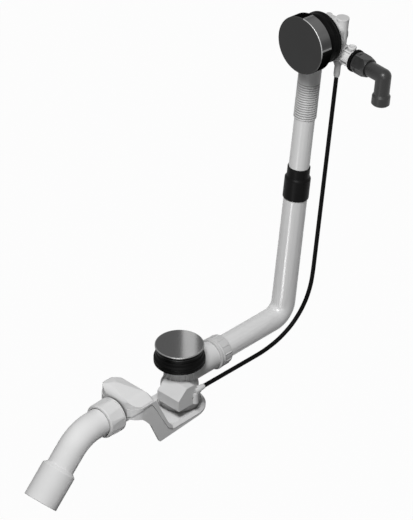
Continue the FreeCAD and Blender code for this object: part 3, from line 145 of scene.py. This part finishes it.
class NodeGraph:
    """A node tree, built with one method for any node."""

    def __init__(self, tree: bpy.types.NodeTree) -> None:
        """Empties a tree and takes it over.

        Args:
            tree: The node tree of a material or world.
        """
        self.tree = tree
        self.tree.nodes.clear()

    def node(self, kind: str, settings: dict[str, object], inputs: dict) -> bpy.types.Node:
        """Adds a node.

        Args:
            kind: The node's type.
            settings: Its settings.
            inputs: Values or signals by socket name or number.

        Returns:
            The node.
        """
        made = self.tree.nodes.new(kind)
        for key, value in settings.items():
            setattr(made, key, value)
        for key, value in inputs.items():
            self.feed(made.inputs[key], value)
        return made

    def feed(self, socket: bpy.types.NodeSocket, value: object) -> None:
        """Links a signal to a socket, or sets its value.

        Args:
            socket: The input socket.
            value: The signal or constant.
        """
        if isinstance(value, Signal):
            self.tree.links.new(value.socket, socket)
        else:
            socket.default_value = value

    def out(self, node: bpy.types.Node, name: str) -> Signal:
        """A node's output as a signal.

        Args:
            node: The node.
            name: The output's name.

        Returns:
            The signal.
        """
        return Signal(self, node.outputs[name])

    def shown_white(self) -> Signal:
        """Where a surround shows white: to the camera, in glass and in gloss.

        Returns:
            1 for camera, transmission and glossy rays, else 0.
        """
        path = self.node("ShaderNodeLightPath", {}, {})
        seen = self.out(path, "Is Camera Ray").maximum(self.out(path, "Is Transmission Ray"))
        return seen.maximum(self.out(path, "Is Glossy Ray"))


class ShaderGraph(NodeGraph):
    """The nodes of one material around a Principled shader."""

    def __init__(self, name: str) -> None:
        """Makes a material.

        Args:
            name: The material's name.
        """
        self.material = bpy.data.materials.new(name)
        self.material.use_nodes = True
        super().__init__(self.material.node_tree)
        self.output = self.tree.nodes.new("ShaderNodeOutputMaterial")
        self.shader = self.tree.nodes.new("ShaderNodeBsdfPrincipled")
        self.tree.links.new(self.shader.outputs["BSDF"], self.output.inputs["Surface"])

    def position(self) -> Signal:
        """The rest position of the surface, in metres.

        Returns:
            The position.
        """
        return self.out(self.node("ShaderNodeTexCoord", {}, {}), "Object")

    def _turned(self, vector: Signal, tilt: Point) -> Signal:
        """Turns a vector.

        Args:
            vector: The vector.
            tilt: The turn about the three axes, in degrees.

        Returns:
            The turned vector.
        """
        rotation = [math.radians(angle) for angle in tilt]
        node = self.node("ShaderNodeMapping", {}, {"Vector": vector, "Rotation": rotation})
        return self.out(node, "Vector")

    def axes(
        self, centre: Point = (0, 0, 0), tilt: Point = (0, 0, 0)
    ) -> tuple[Signal, Signal, Signal]:
        """The three coordinates of the rest position in a frame of its own.

        Args:
            centre: The frame's origin, in metres.
            tilt: The frame's turn, in degrees.

        Returns:
            The coordinates along the frame's axes, in metres.
        """
        inputs = {0: self.position(), 1: centre}
        moved = self.node("ShaderNodeVectorMath", {"operation": "SUBTRACT"}, inputs)
        turned = self._turned(self.out(moved, "Vector"), tilt)
        node = self.node("ShaderNodeSeparateXYZ", {}, {0: turned})
        return self.out(node, "X"), self.out(node, "Y"), self.out(node, "Z")

    def noise(
        self, scale: float, detail: float = 3.0, stretch: Point = (1, 1, 1), tilt: Point = (0, 0, 0)
    ) -> Signal:
        """Noise over the rest position.

        Args:
            scale: Its frequency per metre.
            detail: Its octaves.
            stretch: Factors on the three axes.
            tilt: The axes' turn before that, in degrees.

        Returns:
            The noise, about 0 to 1.
        """
        turned = self._turned(self.position(), tilt)
        mapped = self.node("ShaderNodeMapping", {}, {"Vector": turned, "Scale": stretch})
        inputs = {"Vector": self.out(mapped, "Vector"), "Scale": scale, "Detail": detail}
        return self.out(self.node("ShaderNodeTexNoise", {}, inputs), "Fac")

    def openness(self, reach: float) -> Signal:
        """How open the surface is: 1 on open faces, less in corners and joints.

        Args:
            reach: How far a neighbour counts, in metres.

        Returns:
            The openness.
        """
        node = self.node("ShaderNodeAmbientOcclusion", {"samples": 8}, {"Distance": reach})
        return self.out(node, "AO")

    def blend(self, factor: Signal, low: Signal | Colour, high: Signal | Colour) -> Signal:
        """Mixes two colours.

        Args:
            factor: 0 for the first colour, 1 for the second.
            low: The first colour.
            high: The second colour.

        Returns:
            The mixed colour.
        """
        node = self.node("ShaderNodeMix", {"data_type": "RGBA"}, {0: factor, 6: low, 7: high})
        return Signal(self, node.outputs[2])

    def bump(self, height: Signal, distance: float) -> Signal:
        """A bump normal from a height.

        Args:
            height: The height, 0 to 1.
            distance: The height of 1, in metres.

        Returns:
            The normal.
        """
        inputs = {"Height": height, "Distance": distance, "Strength": 1.0}
        return self.out(self.node("ShaderNodeBump", {}, inputs), "Normal")

    def set(self, **values: object) -> bpy.types.Material:
        """Sets or links the shader's sockets.

        Args:
            **values: Values or signals by socket name, with underscores for spaces.

        Returns:
            The material.
        """
        for key, value in values.items():
            self.feed(self.shader.inputs[key.replace("_", " ")], value)
        return self.material


@dataclass(frozen=True)
class MouldedPlastic:
    """Light moulded plastic: faint flow marks, fine grain, and painted shade that darkens its corners and
    joints.
    """

    level: float = 214.0
    roughness: float = 0.48
    specular: float = 0.07
    mottle: float = 5.0
    flow_scale: float = 18.0
    grain_scale: float = 1400.0
    grain: float = 0.02 * MM
    gloss_scale: float = 70.0
    gloss_spread: float = 0.10
    # Painted shade: the level, reach and edge of the darkening in corners and joints.
    corner_shade: float = 128.0
    corner_shade_reach: float = 5.0 * MM
    corner_shade_edge: float = 0.35

    def material(self, name: str) -> bpy.types.Material:
        """Builds the material.

        Args:
            name: The material's name.

        Returns:
            The material.
        """
        g = ShaderGraph(name)
        flow = g.noise(self.flow_scale, detail=4.0).above(edge=0.5, width=0.7)
        colour = g.blend(flow, grey(self.level - self.mottle), grey(self.level + self.mottle / 2))
        # Painted shade: ambient occlusion darkens the colour in corners and joints.
        openness = g.openness(self.corner_shade_reach).above(self.corner_shade_edge, 2 * self.corner_shade_edge)
        colour = g.blend(openness, grey(self.corner_shade), colour)
        gloss = g.noise(self.gloss_scale)
        return g.set(
            Base_Color=colour,
            Roughness=self.roughness - self.gloss_spread / 2 + self.gloss_spread * gloss,
            Normal=g.bump(g.noise(self.grain_scale, detail=2.0), self.grain),
            Specular_IOR_Level=self.specular,
        )


@dataclass(frozen=True)
class ExtrudedPipe:
    """Light extruded pipe: fine die lines along its axis and a satin sheen.

    Below leg_top the pipe runs along X, and above it leans from upright. Its corners and joints
    get painted shade. With a groove_radius, the surface nearer to the axis than that is darker,
    as painted shade in the grooves between ribs.
    """

    level: float = 210.0
    roughness: float = 0.22
    specular: float = 0.55
    lean: float = 8.0
    leg_top: float = -1.0
    leg_blend: float = 30.0 * MM
    line_scale: float = 260.0
    line_stretch: Point = (1.0, 1.0, 0.012)
    line_darker: float = 4.0
    line_lighter: float = 3.0
    cloud_scale: float = 22.0
    grain_scale: float = 1300.0
    relief: float = 0.02 * MM
    # Painted shade: the level and reach of the darkening in corners and joints.
    corner_shade: float = 150.0
    corner_shade_reach: float = 5.0 * MM
    axis: Point = (0.0, 0.0, 0.0)
    groove_radius: float = 0.0
    groove_blend: float = 0.6 * MM
    groove_shade: float = 120.0

    def material(self, name: str) -> bpy.types.Material:
        """Builds the material.

        Args:
            name: The material's name.

        Returns:
            The material.
        """
        g = ShaderGraph(name)
        leaning = (0, -self.lean, 0)
        upright = g.axes()[2].above(self.leg_top, self.leg_blend)
        lines = upright * g.noise(self.line_scale, 3.0, self.line_stretch, leaning)
        lines = lines + (1 - upright) * g.noise(self.line_scale, 3.0, self.line_stretch, (0, -90, 0))
        cloud = g.noise(self.cloud_scale)
        fine = g.noise(self.grain_scale, detail=2.0)
        marks = lines.above(edge=0.5, width=0.6)
        colour = g.blend(marks, grey(self.level - self.line_darker), grey(self.level + self.line_lighter))
        # Painted shade: ambient occlusion darkens the colour in corners and joints.
        openness = g.openness(self.corner_shade_reach).above(edge=0.35, width=0.7)
        colour = g.blend(openness, grey(self.corner_shade), colour)
        # Painted shade: the grooves between the tail's ribs are darker.
        if self.groove_radius:
            across, side, _ = g.axes(self.axis, leaning)
            radius = (across * across + side * side) ** 0.5
            ridge = radius.above(self.groove_radius, self.groove_blend)
            colour = g.blend(ridge, grey(self.groove_shade), colour)
        return g.set(
            Base_Color=colour,
            Roughness=self.roughness - 0.06 + 0.07 * cloud + 0.05 * lines,
            Normal=g.bump(lines * 0.7 + fine * 0.3, self.relief),
            Specular_IOR_Level=self.specular,
        )


@dataclass(frozen=True)
class Rubber:
    """Black moulded rubber with a dull bloom on it."""

    level: float = 10.0
    bloom: float = 22.0
    roughness: float = 0.40
    specular: float = 0.035
    bloom_scale: float = 45.0
    grain_scale: float = 1800.0
    grain: float = 0.03 * MM

    def material(self, name: str) -> bpy.types.Material:
        """Builds the material.

        Args:
            name: The material's name.

        Returns:
            The material.
        """
        g = ShaderGraph(name)
        cloud = g.noise(self.bloom_scale, detail=5.0)
        return g.set(
            Base_Color=g.blend(cloud.above(edge=0.62, width=0.4), grey(self.level), grey(self.bloom)),
            Roughness=self.roughness + 0.16 * cloud,
            Normal=g.bump(g.noise(self.grain_scale, detail=2.0), self.grain),
            Specular_IOR_Level=self.specular,
        )


@dataclass(frozen=True)
class DarkMoulding:
    """Dark glass-filled moulding: cloudy, with a sheen that breaks up."""

    level: float = 62.0
    cloud: float = 10.0
    roughness: float = 0.22
    specular: float = 0.14
    cloud_scale: float = 55.0
    sheen_scale: float = 90.0
    grain_scale: float = 1500.0
    grain: float = 0.03 * MM

    def material(self, name: str) -> bpy.types.Material:
        """Builds the material.

        Args:
            name: The material's name.

        Returns:
            The material.
        """
        g = ShaderGraph(name)
        cloud = g.noise(self.cloud_scale, detail=4.0)
        return g.set(
            Base_Color=g.blend(cloud, grey(self.level - self.cloud), grey(self.level + self.cloud)),
            Roughness=self.roughness - 0.05 + 0.12 * g.noise(self.sheen_scale),
            Normal=g.bump(g.noise(self.grain_scale, detail=2.0), self.grain),
            Specular_IOR_Level=self.specular,
        )


@dataclass(frozen=True)
class SatinMetal:
    """Plated metal with fine brush marks."""

    level: float
    roughness: float
    brush_scale: float = 40.0
    brush: Point = (1.0, 60.0, 60.0)
    cloud_scale: float = 25.0
    contrast: float = 5.0
    depth: float = 0.008 * MM

    def material(self, name: str) -> bpy.types.Material:
        """Builds the material.

        Args:
            name: The material's name.

        Returns:
            The material.
        """
        g = ShaderGraph(name)
        marks = g.noise(self.brush_scale, 4.0, self.brush)
        cloud = g.noise(self.cloud_scale)
        return g.set(
            Base_Color=g.blend(marks, grey(self.level - self.contrast), grey(self.level + self.contrast)),
            Metallic=1.0,
            Roughness=self.roughness - 0.03 + 0.03 * cloud + 0.03 * marks,
            Normal=g.bump(marks, self.depth),
        )


@dataclass(frozen=True)
class KnobMetal:
    """Dark plated knob: satin face and brushed grip hollows, with painted light: painted shade on the
    plain sides, painted highlights along the hollows' edge lines, at their tops and on the rim.

    It works in the knob's own leaning frame: depth behind the face, across and height. One grip
    hollow is on the far side of the axis above grip_height, the other is its half-turn partner.
    """

    centre: Point
    lean: float
    radius: float
    grip_height: float
    face_level: float = 63.0
    # Painted shade on the plain sides, and painted highlight levels for the hollows and rim.
    side_shade_level: float = 30.0
    grip_level: float = 62.0
    grip_highlight_level: float = 104.0
    edge_highlight_level: float = 170.0
    edge_tint: float = 0.06
    edge_offset: float = 1.0 * MM
    middle_offset: float = 1.1 * MM
    edge_blend: float = 0.6 * MM
    crisp: float = 0.2 * MM
    grip_top: float = 26.0 * MM
    grip_top_blend: float = 30.0 * MM
    rim_start: float = 1.0 * MM
    rim_blend: float = 14.0 * MM
    rim_width: float = 0.9 * MM
    rim_crisp: float = 0.3 * MM
    brush_scale: float = 90.0
    brush: Point = (0.03, 1.0, 1.0)
    cloud_scale: float = 25.0
    depth: float = 0.006 * MM
    roughness: float = 0.34

    def material(self, name: str) -> bpy.types.Material:
        """Builds the material.

        Args:
            name: The material's name.

        Returns:
            The material.
        """
        g = ShaderGraph(name)
        leaning = (0, -self.lean, 0)
        depth, across, height = g.axes(self.centre, leaning)
        radius = (across * across + height * height) ** 0.5
        marks = g.noise(self.brush_scale, 4.0, self.brush, leaning)
        cloud = g.noise(self.cloud_scale)

        near, high = across.above(0.0, self.crisp), height.above(self.grip_height, self.crisp)
        far, low = 1 - near, 1 - height.above(-self.grip_height, self.crisp)
        # Painted highlights along the edge lines of the grip hollows.
        edge_high = 1 - height.distance_from(self.grip_height).above(self.edge_offset, self.edge_blend)
        edge_low = 1 - height.distance_from(-self.grip_height).above(self.edge_offset, self.edge_blend)
        edge_middle = 1 - across.distance_from(0.0).above(self.middle_offset, self.edge_blend)
        edges = (far * edge_high + near * edge_low).maximum(edge_middle * (high + low))

        # Painted highlight: the grip hollows grow lighter towards their tops.
        top_highlight = height.above(self.grip_top, self.grip_top_blend)
        hollow = g.blend(top_highlight, grey(self.grip_level), grey(self.grip_highlight_level))
        scratches = marks.above(edge=0.55, width=0.3) * 0.25
        hollow = g.blend(scratches, hollow, grey(self.edge_highlight_level * 0.7))
        # Painted shade: the plain sides are darker than the face.
        plain_side = g.blend(marks, grey(self.side_shade_level - 6), grey(self.side_shade_level + 8))
        side = g.blend(far * high + near * low, plain_side, hollow)
        side = g.blend(edges * 0.75, side, grey(self.edge_highlight_level))

        face = g.blend(cloud, grey(self.face_level - 2), grey(self.face_level + 2))
        # Painted highlight on the far side of the rim, brighter towards the top.
        rim_highlight = far * height.above(self.rim_start, self.rim_blend)
        rim = g.blend(rim_highlight, grey(self.face_level + 14), grey(self.edge_highlight_level))
        on_side = depth.above(self.rim_width, self.rim_crisp)
        on_rim = radius.above(self.radius - self.rim_width, self.rim_crisp) * (1 - on_side)
        return g.set(
            Base_Color=g.blend(on_rim, g.blend(on_side, face, side), rim),
            Metallic=1.0,
            Roughness=self.roughness - 0.02 + 0.03 * cloud + 0.04 * marks + 0.1 * on_rim,
            Normal=g.bump(marks, self.depth),
            Specular_Tint=(self.edge_tint, self.edge_tint, self.edge_tint, 1.0),
        )


@dataclass(frozen=True)
class LidMetal:
    """Satin plug lid: faintly turned top, a painted highlight along its upper edge and painted shade on
    its skirt.
    """

    top: float
    radius: float
    level: float = 78.0
    contrast: float = 3.0
    # Painted highlight along the upper edge, and painted shade on the skirt.
    edge_highlight_level: float = 126.0
    edge_width: float = 1.2 * MM
    edge_blend: float = 0.8 * MM
    skirt_shade_level: float = 26.0
    skirt_drop: float = 1.3 * MM
    ring_scale: float = 900.0
    ring_rise: float = 40.0
    cloud_scale: float = 30.0
    depth: float = 0.0006 * MM
    roughness: float = 0.115

    def material(self, name: str) -> bpy.types.Material:
        """Builds the material.

        Args:
            name: The material's name.

        Returns:
            The material.
        """
        g = ShaderGraph(name)
        across, along, height = g.axes()
        radius = (across * across + along * along) ** 0.5
        turned = {0: radius * self.ring_scale, 1: height * self.ring_rise}
        turned = g.out(g.node("ShaderNodeCombineXYZ", {}, turned), "Vector")
        rings = g.node("ShaderNodeTexNoise", {}, {"Vector": turned, "Scale": 1.0, "Detail": 2.0})
        rings = g.out(rings, "Fac")
        cloud = g.noise(self.cloud_scale)
        colour = g.blend(rings, grey(self.level - self.contrast), grey(self.level + self.contrast))
        # Painted highlight along the lid's upper edge.
        rim = radius.above(self.radius - self.edge_width, self.edge_blend)
        colour = g.blend(rim, colour, grey(self.edge_highlight_level))
        # Painted shade: the skirt below the top is dark.
        skirt = (self.top - height).above(self.skirt_drop, self.edge_blend)
        return g.set(
            Base_Color=g.blend(skirt, colour, grey(self.skirt_shade_level)),
            Metallic=1.0,
            Roughness=self.roughness + 0.02 * cloud + 0.3 * rim,
            Normal=g.bump(rings, self.depth),
        )


@dataclass(frozen=True)
class CableSheath:
    """Smooth black extruded sheath, a little scuffed."""

    level: float = 8.0
    scuffed: float = 18.0
    roughness: float = 0.36
    specular: float = 0.04
    scuff_scale: float = 120.0
    depth: float = 0.02 * MM

    def material(self, name: str) -> bpy.types.Material:
        """Builds the material.

        Args:
            name: The material's name.

        Returns:
            The material.
        """
        g = ShaderGraph(name)
        scuff = g.noise(self.scuff_scale, detail=4.0)
        return g.set(
            Base_Color=g.blend(scuff.above(edge=0.66, width=0.2), grey(self.level), grey(self.scuffed)),
            Roughness=self.roughness + 0.2 * scuff,
            Normal=g.bump(scuff, self.depth),
            Specular_IOR_Level=self.specular,
        )


class Finish(Protocol):
    """What every finish offers."""

    def material(self, name: str) -> bpy.types.Material:
        """Builds the material.

        Args:
            name: The material's name.

        Returns:
            The material.
        """


class Shade(Enum):
    """The display levels of the light plastics."""

    TRAP = 224.0
    NUT = 217.0
    GRIP_NUT = 200.0
    BODY = 214.0
    PIPE = 216.0
    TAIL = 202.0
    HEAD = 210.0
    HIDDEN = 150.0


RUBBER = Rubber()
HIDDEN_PLASTIC = MouldedPlastic(level=Shade.HIDDEN.value)
STEEL = SatinMetal(level=168.0, roughness=0.28)
DARK_STEEL = SatinMetal(level=34.0, roughness=0.42)
MATERIALS: dict[Finish, bpy.types.Material] = {}


@dataclass
class SubAssembly:
    """CAD nodes that belong together and get their finishes together."""

    smooth_angle: float = 32.0

    def finishes(self) -> dict[str, Finish]:
        """The finish of each of its nodes.

        Returns:
            The finishes by node name.
        """
        return {}

    def dress(self) -> None:
        """Gives every node its finish and smooth curved faces."""
        for name, finish in self.finishes().items():
            if finish not in MATERIALS:
                MATERIALS[finish] = finish.material("finish_" + name)
            self._apply(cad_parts[name], MATERIALS[finish])
            log.info("dressed %s", name)

    def _apply(self, node: bpy.types.Object, material: bpy.types.Material) -> None:
        """Puts one material on a node and shades its curved faces smooth.

        Args:
            node: The CAD node's object.
            material: The finish.
        """
        mesh = node.data
        if not mesh.materials:
            mesh.materials.append(material)
        for i in range(len(mesh.materials)):
            mesh.materials[i] = material
        mesh.shade_smooth()
        mesh.set_sharp_from_angle(angle=math.radians(self.smooth_angle))


@dataclass
class PlugAndFlange(SubAssembly):
    """The lid that lifts, its seal and stem, and the flange and gasket under it."""

    lid_top: float = 6.0 * MM
    lid_radius: float = 34.2 * MM

    def finishes(self) -> dict[str, Finish]:
        """The finish of each of its nodes.

        Returns:
            The finishes by node name.
        """
        return {
            "plug_lid": LidMetal(self.lid_top, self.lid_radius),
            "plug_seal": RUBBER,
            "plug_stem": STEEL,
            "waste_flange": DARK_STEEL,
            "clamp_screw": STEEL,
            "waste_gasket": RUBBER,
        }


@dataclass
class WasteBody(SubAssembly):
    """The ribbed body with its lever housing and the union of the overflow pipe."""

    # Painted shade: how dark the leg nut gets in its corners and joints.
    nut_corner_shade: float = 168.0

    def finishes(self) -> dict[str, Finish]:
        """The finish of each of its nodes.

        Returns:
            The finishes by node name.
        """
        body = MouldedPlastic(level=Shade.BODY.value)
        return {
            "waste_body": body,
            "trap_seal": RUBBER,
            "lever_housing": body,
            "lift_lever": HIDDEN_PLASTIC,
            "cable_crank": HIDDEN_PLASTIC,
            "leg_nut": MouldedPlastic(level=Shade.GRIP_NUT.value, corner_shade=self.nut_corner_shade),
            "leg_seal": RUBBER,
        }


@dataclass
class FlatTrap(SubAssembly):
    """The two welded shells, the union nut and the outlet bend that turns in it."""

    # Painted shade: the shells darken over a wide reach in the tray under the lever housing and in other
    # hollows.
    tray_shade: float = 104.0
    tray_shade_reach: float = 26.0 * MM
    tray_shade_edge: float = 0.46

    def finishes(self) -> dict[str, Finish]:
        """The finish of each of its nodes.

        Returns:
            The finishes by node name.
        """
        shell = MouldedPlastic(
            level=Shade.TRAP.value,
            corner_shade=self.tray_shade,
            corner_shade_reach=self.tray_shade_reach,
            corner_shade_edge=self.tray_shade_edge,
        )
        return {
            "trap_lower_shell": shell,
            "trap_upper_shell": shell,
            "outlet_nut": MouldedPlastic(level=Shade.NUT.value),
            "outlet_seal": RUBBER,
            "outlet_bend": MouldedPlastic(level=Shade.TRAP.value, roughness=0.40, specular=0.015),
        }


@dataclass
class OverflowPipe(SubAssembly):
    """The telescopic pipe: leg and elbow, black sleeve, upper tube and ribbed tail."""

    lean: float = 8.0
    leg_top: float = -20.0 * MM
    tail_axis: Point = (200.0 * MM, 0.0, -43.0 * MM)
    # The radius inside which the tail gets painted shade in its rib grooves.
    tail_groove: float = 15.65 * MM

    def finishes(self) -> dict[str, Finish]:
        """The finish of each of its nodes.

        Returns:
            The finishes by node name.
        """
        pipe = Shade.PIPE.value
        return {
            "lower_pipe": ExtrudedPipe(level=pipe, lean=self.lean, leg_top=self.leg_top),
            "pipe_sleeve": Rubber(level=18.0, bloom=26.0, roughness=0.32, specular=0.05),
            "upper_tube": ExtrudedPipe(level=pipe, lean=self.lean),
            "ribbed_tail": ExtrudedPipe(
                level=Shade.TAIL.value,
                lean=self.lean,
                roughness=0.40,
                specular=0.4,
                axis=self.tail_axis,
                groove_radius=self.tail_groove,
            ),
        }


@dataclass
class RotaryKnob(SubAssembly):
    """The knob with what turns with it."""

    centre: Point = (204.24 * MM, -29.0 * MM, 418.3 * MM)
    lean: float = 8.0
    radius: float = 41.6 * MM
    grip_height: float = 8.0 * MM

    def finishes(self) -> dict[str, Finish]:
        """The finish of each of its nodes.

        Returns:
            The finishes by node name.
        """
        return {
            "knob": KnobMetal(self.centre, self.lean, self.radius, self.grip_height),
            "knob_screw": STEEL,
            "knob_spindle": STEEL,
            "cable_drum": HIDDEN_PLASTIC,
        }


@dataclass
class OverflowHead(SubAssembly):
    """The head behind the bath wall, its flange and gasket, cap and plug."""

    # Painted shade: how dark and how far the head darkens in its corners and joints.
    corner_shade: float = 118.0
    corner_shade_reach: float = 10.0 * MM

    def finishes(self) -> dict[str, Finish]:
        """The finish of each of its nodes.

        Returns:
            The finishes by node name.
        """
        head = MouldedPlastic(
            level=Shade.HEAD.value, roughness=0.42, corner_shade=self.corner_shade, corner_shade_reach=self.corner_shade_reach
        )
        return {
            "overflow_flange": STEEL,
            "flange_screws": STEEL,
            "overflow_gasket": RUBBER,
            "overflow_body": head,
            "rear_cover": head,
            "valve_cap": head,
            "vent_plug": head,
        }


@dataclass
class FillingElbow(SubAssembly):
    """The supply connection: ring, union nut and the elbow that turns in it."""

    def finishes(self) -> dict[str, Finish]:
        """The finish of each of its nodes.

        Returns:
            The finishes by node name.
        """
        return {
            "supply_ring": RUBBER,
            "supply_nut": DarkMoulding(level=40.0, cloud=24.0, roughness=0.30, specular=0.30),
            "supply_seal": RUBBER,
            "supply_elbow": DarkMoulding(level=38.0, cloud=5.0, roughness=0.34, specular=0.36),
        }


@dataclass
class CablePull(SubAssembly):
    """The pull cable and the ferrules at its two ends."""

    def finishes(self) -> dict[str, Finish]:
        """The finish of each of its nodes.

        Returns:
            The finishes by node name.
        """
        ferrule = MouldedPlastic(level=Shade.BODY.value)
        return {"low_ferrule": ferrule, "high_ferrule": ferrule, "pull_cable": CableSheath()}


@dataclass(frozen=True)
class Lamp:
    """A soft lamp that faces a target, as bright as level on a white surface that faces it."""

    name: str
    target: Point
    direction: Point
    distance: float
    size: tuple[float, float]
    level: float

    def energy(self) -> float:
        """The lamp's power.

        Returns:
            The power in watts.
        """
        return self.level * (math.pi * self.distance) ** 2


@dataclass(frozen=True)
class Card:
    """A reflector card that only shows in the gloss, with its radiance."""

    size: tuple[float, float]
    radiance: float

    def energy(self) -> float:
        """The card's power.

        Returns:
            The power in watts.
        """
        return self.radiance * math.pi * self.size[0] * self.size[1]


@dataclass
class Studio:
    """Camera, floor, backdrop and lamps."""

    lens: float = 1100.0
    pixels_per_metre: float = 730.0
    elevation: float = math.degrees(math.atan(math.sqrt(0.5)))
    azimuth: float = -45.0
    aim: Point = (0.0325, -0.020, 0.1410)
    clip_near: float = 0.2
    clip_far: float = 3.0
    floor_z: float = -0.1500
    floor_half: float = 4.0
    floor_level: float = 62.0
    floor_white: float = 0.975
    surround: float = 0.06
    key: Lamp = Lamp("key", (0.0, 0.0, 0.1), (-0.418, -0.312, 0.853), 2.6, (0.7, 0.7), 0.94)
    fill: Lamp = Lamp("fill", (0.2, 0.0, 0.3), (-0.62, -0.70, 0.22), 2.6, (1.0, 1.0), 0.11)
    lid_card: Card = Card((0.0195, 0.09), 3.8)
    lid_target: Point = (0.0097, -0.0097, 0.006)
    lid_direction: Point = (1.0, 1.0, 1.0)
    lid_distance: float = 0.20
    low_card: Card = Card((0.14, 0.55), 10.0)
    low_place: tuple[float, float] = (-0.36, -0.15)
    low_lift: float = 1.0 * MM
    low_turn: float = -80.0

    def build(self) -> None:
        """Makes everything that isn't part of the object."""
        self._camera()
        self._floor()
        self._world()
        self._lamps()

    def _back(self) -> Vector:
        """The direction from the aim to the camera.

        Returns:
            The direction, of length 1.
        """
        a = math.radians(self.azimuth)
        e = math.radians(self.elevation)
        return Vector((math.sin(a) * math.cos(e), -math.cos(a) * math.cos(e), math.sin(e)))

    def _camera(self) -> None:
        """Makes the camera at the photograph's angle."""
        data = bpy.data.cameras.new("camera")
        data.sensor_width = SENSOR_WIDTH
        data.lens = self.lens
        camera = bpy.data.objects.new("camera", data)
        bpy.context.scene.collection.objects.link(camera)
        focal_pixels = self.lens / SENSOR_WIDTH * max(IMAGE_WIDTH, IMAGE_HEIGHT)
        distance = focal_pixels / self.pixels_per_metre
        back = self._back()
        camera.location = Vector(self.aim) + back * distance
        camera.rotation_mode = "QUATERNION"
        camera.rotation_quaternion = (-back).to_track_quat("-Z", "Y")
        data.clip_start = distance * self.clip_near
        data.clip_end = distance * self.clip_far
        bpy.context.scene.camera = camera

    def _floor(self) -> None:
        """Makes the plain pale floor, just below the part."""
        mesh = bpy.data.meshes.new("floor")
        half = self.floor_half
        corners = [(-half, -half, 0), (half, -half, 0), (half, half, 0), (-half, half, 0)]
        mesh.from_pydata(corners, [], [(0, 1, 2, 3)])
        floor = bpy.data.objects.new("floor", mesh)
        floor.location = (0, 0, self.floor_z)
        bpy.context.scene.collection.objects.link(floor)
        g = ShaderGraph("floor_finish")
        g.set(Base_Color=grey(self.floor_level), Roughness=0.9, Specular_IOR_Level=0.1)
        white = g.node("ShaderNodeEmission", {}, {"Color": WHITE, "Strength": 1.0})
        shaded, lit = g.out(g.shader, "BSDF"), g.out(white, "Emission")
        mix = g.node("ShaderNodeMixShader", {}, {0: g.shown_white() * self.floor_white, 1: shaded, 2: lit})
        g.feed(g.output.inputs["Surface"], g.out(mix, "Shader"))
        mesh.materials.append(g.material)

    def _world(self) -> None:
        """Makes a dim surround that the camera, metal and glass see as white."""
        world = bpy.data.worlds.new("surround")
        world.use_nodes = True
        g = NodeGraph(world.node_tree)
        soft = g.node("ShaderNodeBackground", {}, {"Color": WHITE, "Strength": self.surround})
        white = g.node("ShaderNodeBackground", {}, {"Color": WHITE, "Strength": 1.0})
        dim, bright = g.out(soft, "Background"), g.out(white, "Background")
        mix = g.node("ShaderNodeMixShader", {}, {0: g.shown_white(), 1: dim, 2: bright})
        g.node("ShaderNodeOutputWorld", {}, {"Surface": g.out(mix, "Shader")})
        bpy.context.scene.world = world
        bpy.context.scene.view_settings.view_transform = "Standard"

    @staticmethod
    def _area(
        name: str, size: tuple[float, float], energy: float, place: Vector
    ) -> bpy.types.Object:
        """Adds one rectangular lamp that the camera doesn't see.

        Args:
            name: The lamp's name.
            size: Its width and height, in metres.
            energy: Its power, in watts.
            place: Its place, in metres.

        Returns:
            The lamp.
        """
        data = bpy.data.lights.new(name, "AREA")
        data.shape = "RECTANGLE"
        data.size = size[0]
        data.size_y = size[1]
        data.energy = energy
        lamp = bpy.data.objects.new(name, data)
        lamp.location = place
        lamp.visible_camera = False
        bpy.context.scene.collection.objects.link(lamp)
        return lamp

    @staticmethod
    def _face(lamp: bpy.types.Object, away: Vector) -> None:
        """Turns a lamp to shine against a direction.

        Args:
            lamp: The lamp.
            away: The direction from the target to the lamp.
        """
        lamp.rotation_mode = "QUATERNION"
        lamp.rotation_quaternion = (-away).to_track_quat("-Z", "Y")

    def _soft(self, lamp: Lamp) -> None:
        """Adds a soft lamp that faces its target.

        Args:
            lamp: The lamp's sizes.
        """
        away = Vector(lamp.direction).normalized()
        place = Vector(lamp.target) + away * lamp.distance
        self._face(self._area(lamp.name, lamp.size, lamp.energy(), place), away)

    def _lamps(self) -> None:
        """Makes a soft key above the camera's left and a weak low fill.

        Two cards are added that only show in the gloss: one for the lid's band, one low down.
        """
        self._soft(self.key)
        away = Vector(self.lid_direction).normalized()
        place = Vector(self.lid_target) + away * self.lid_distance
        band = self._area("lid_card", self.lid_card.size, self.lid_card.energy(), place)
        self._face(band, away)
        band.visible_diffuse = False
        self._soft(self.fill)
        place = Vector((*self.low_place, self.floor_z + self.low_lift))
        low = self._area("low_card", self.low_card.size, self.low_card.energy(), place)
        low.rotation_euler = (math.pi, 0, math.radians(self.low_turn))
        low.visible_diffuse = False


def main() -> None:
    """Builds the scene around the CAD model."""
    logging.basicConfig(level=logging.INFO, format="%(message)s")
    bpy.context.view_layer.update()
    for assembly in (
        PlugAndFlange(),
        WasteBody(),
        FlatTrap(),
        OverflowPipe(),
        RotaryKnob(),
        OverflowHead(),
        FillingElbow(),
        CablePull(),
    ):
        assembly.dress()
    Studio().build()


if __name__ == "__main__":
    main()
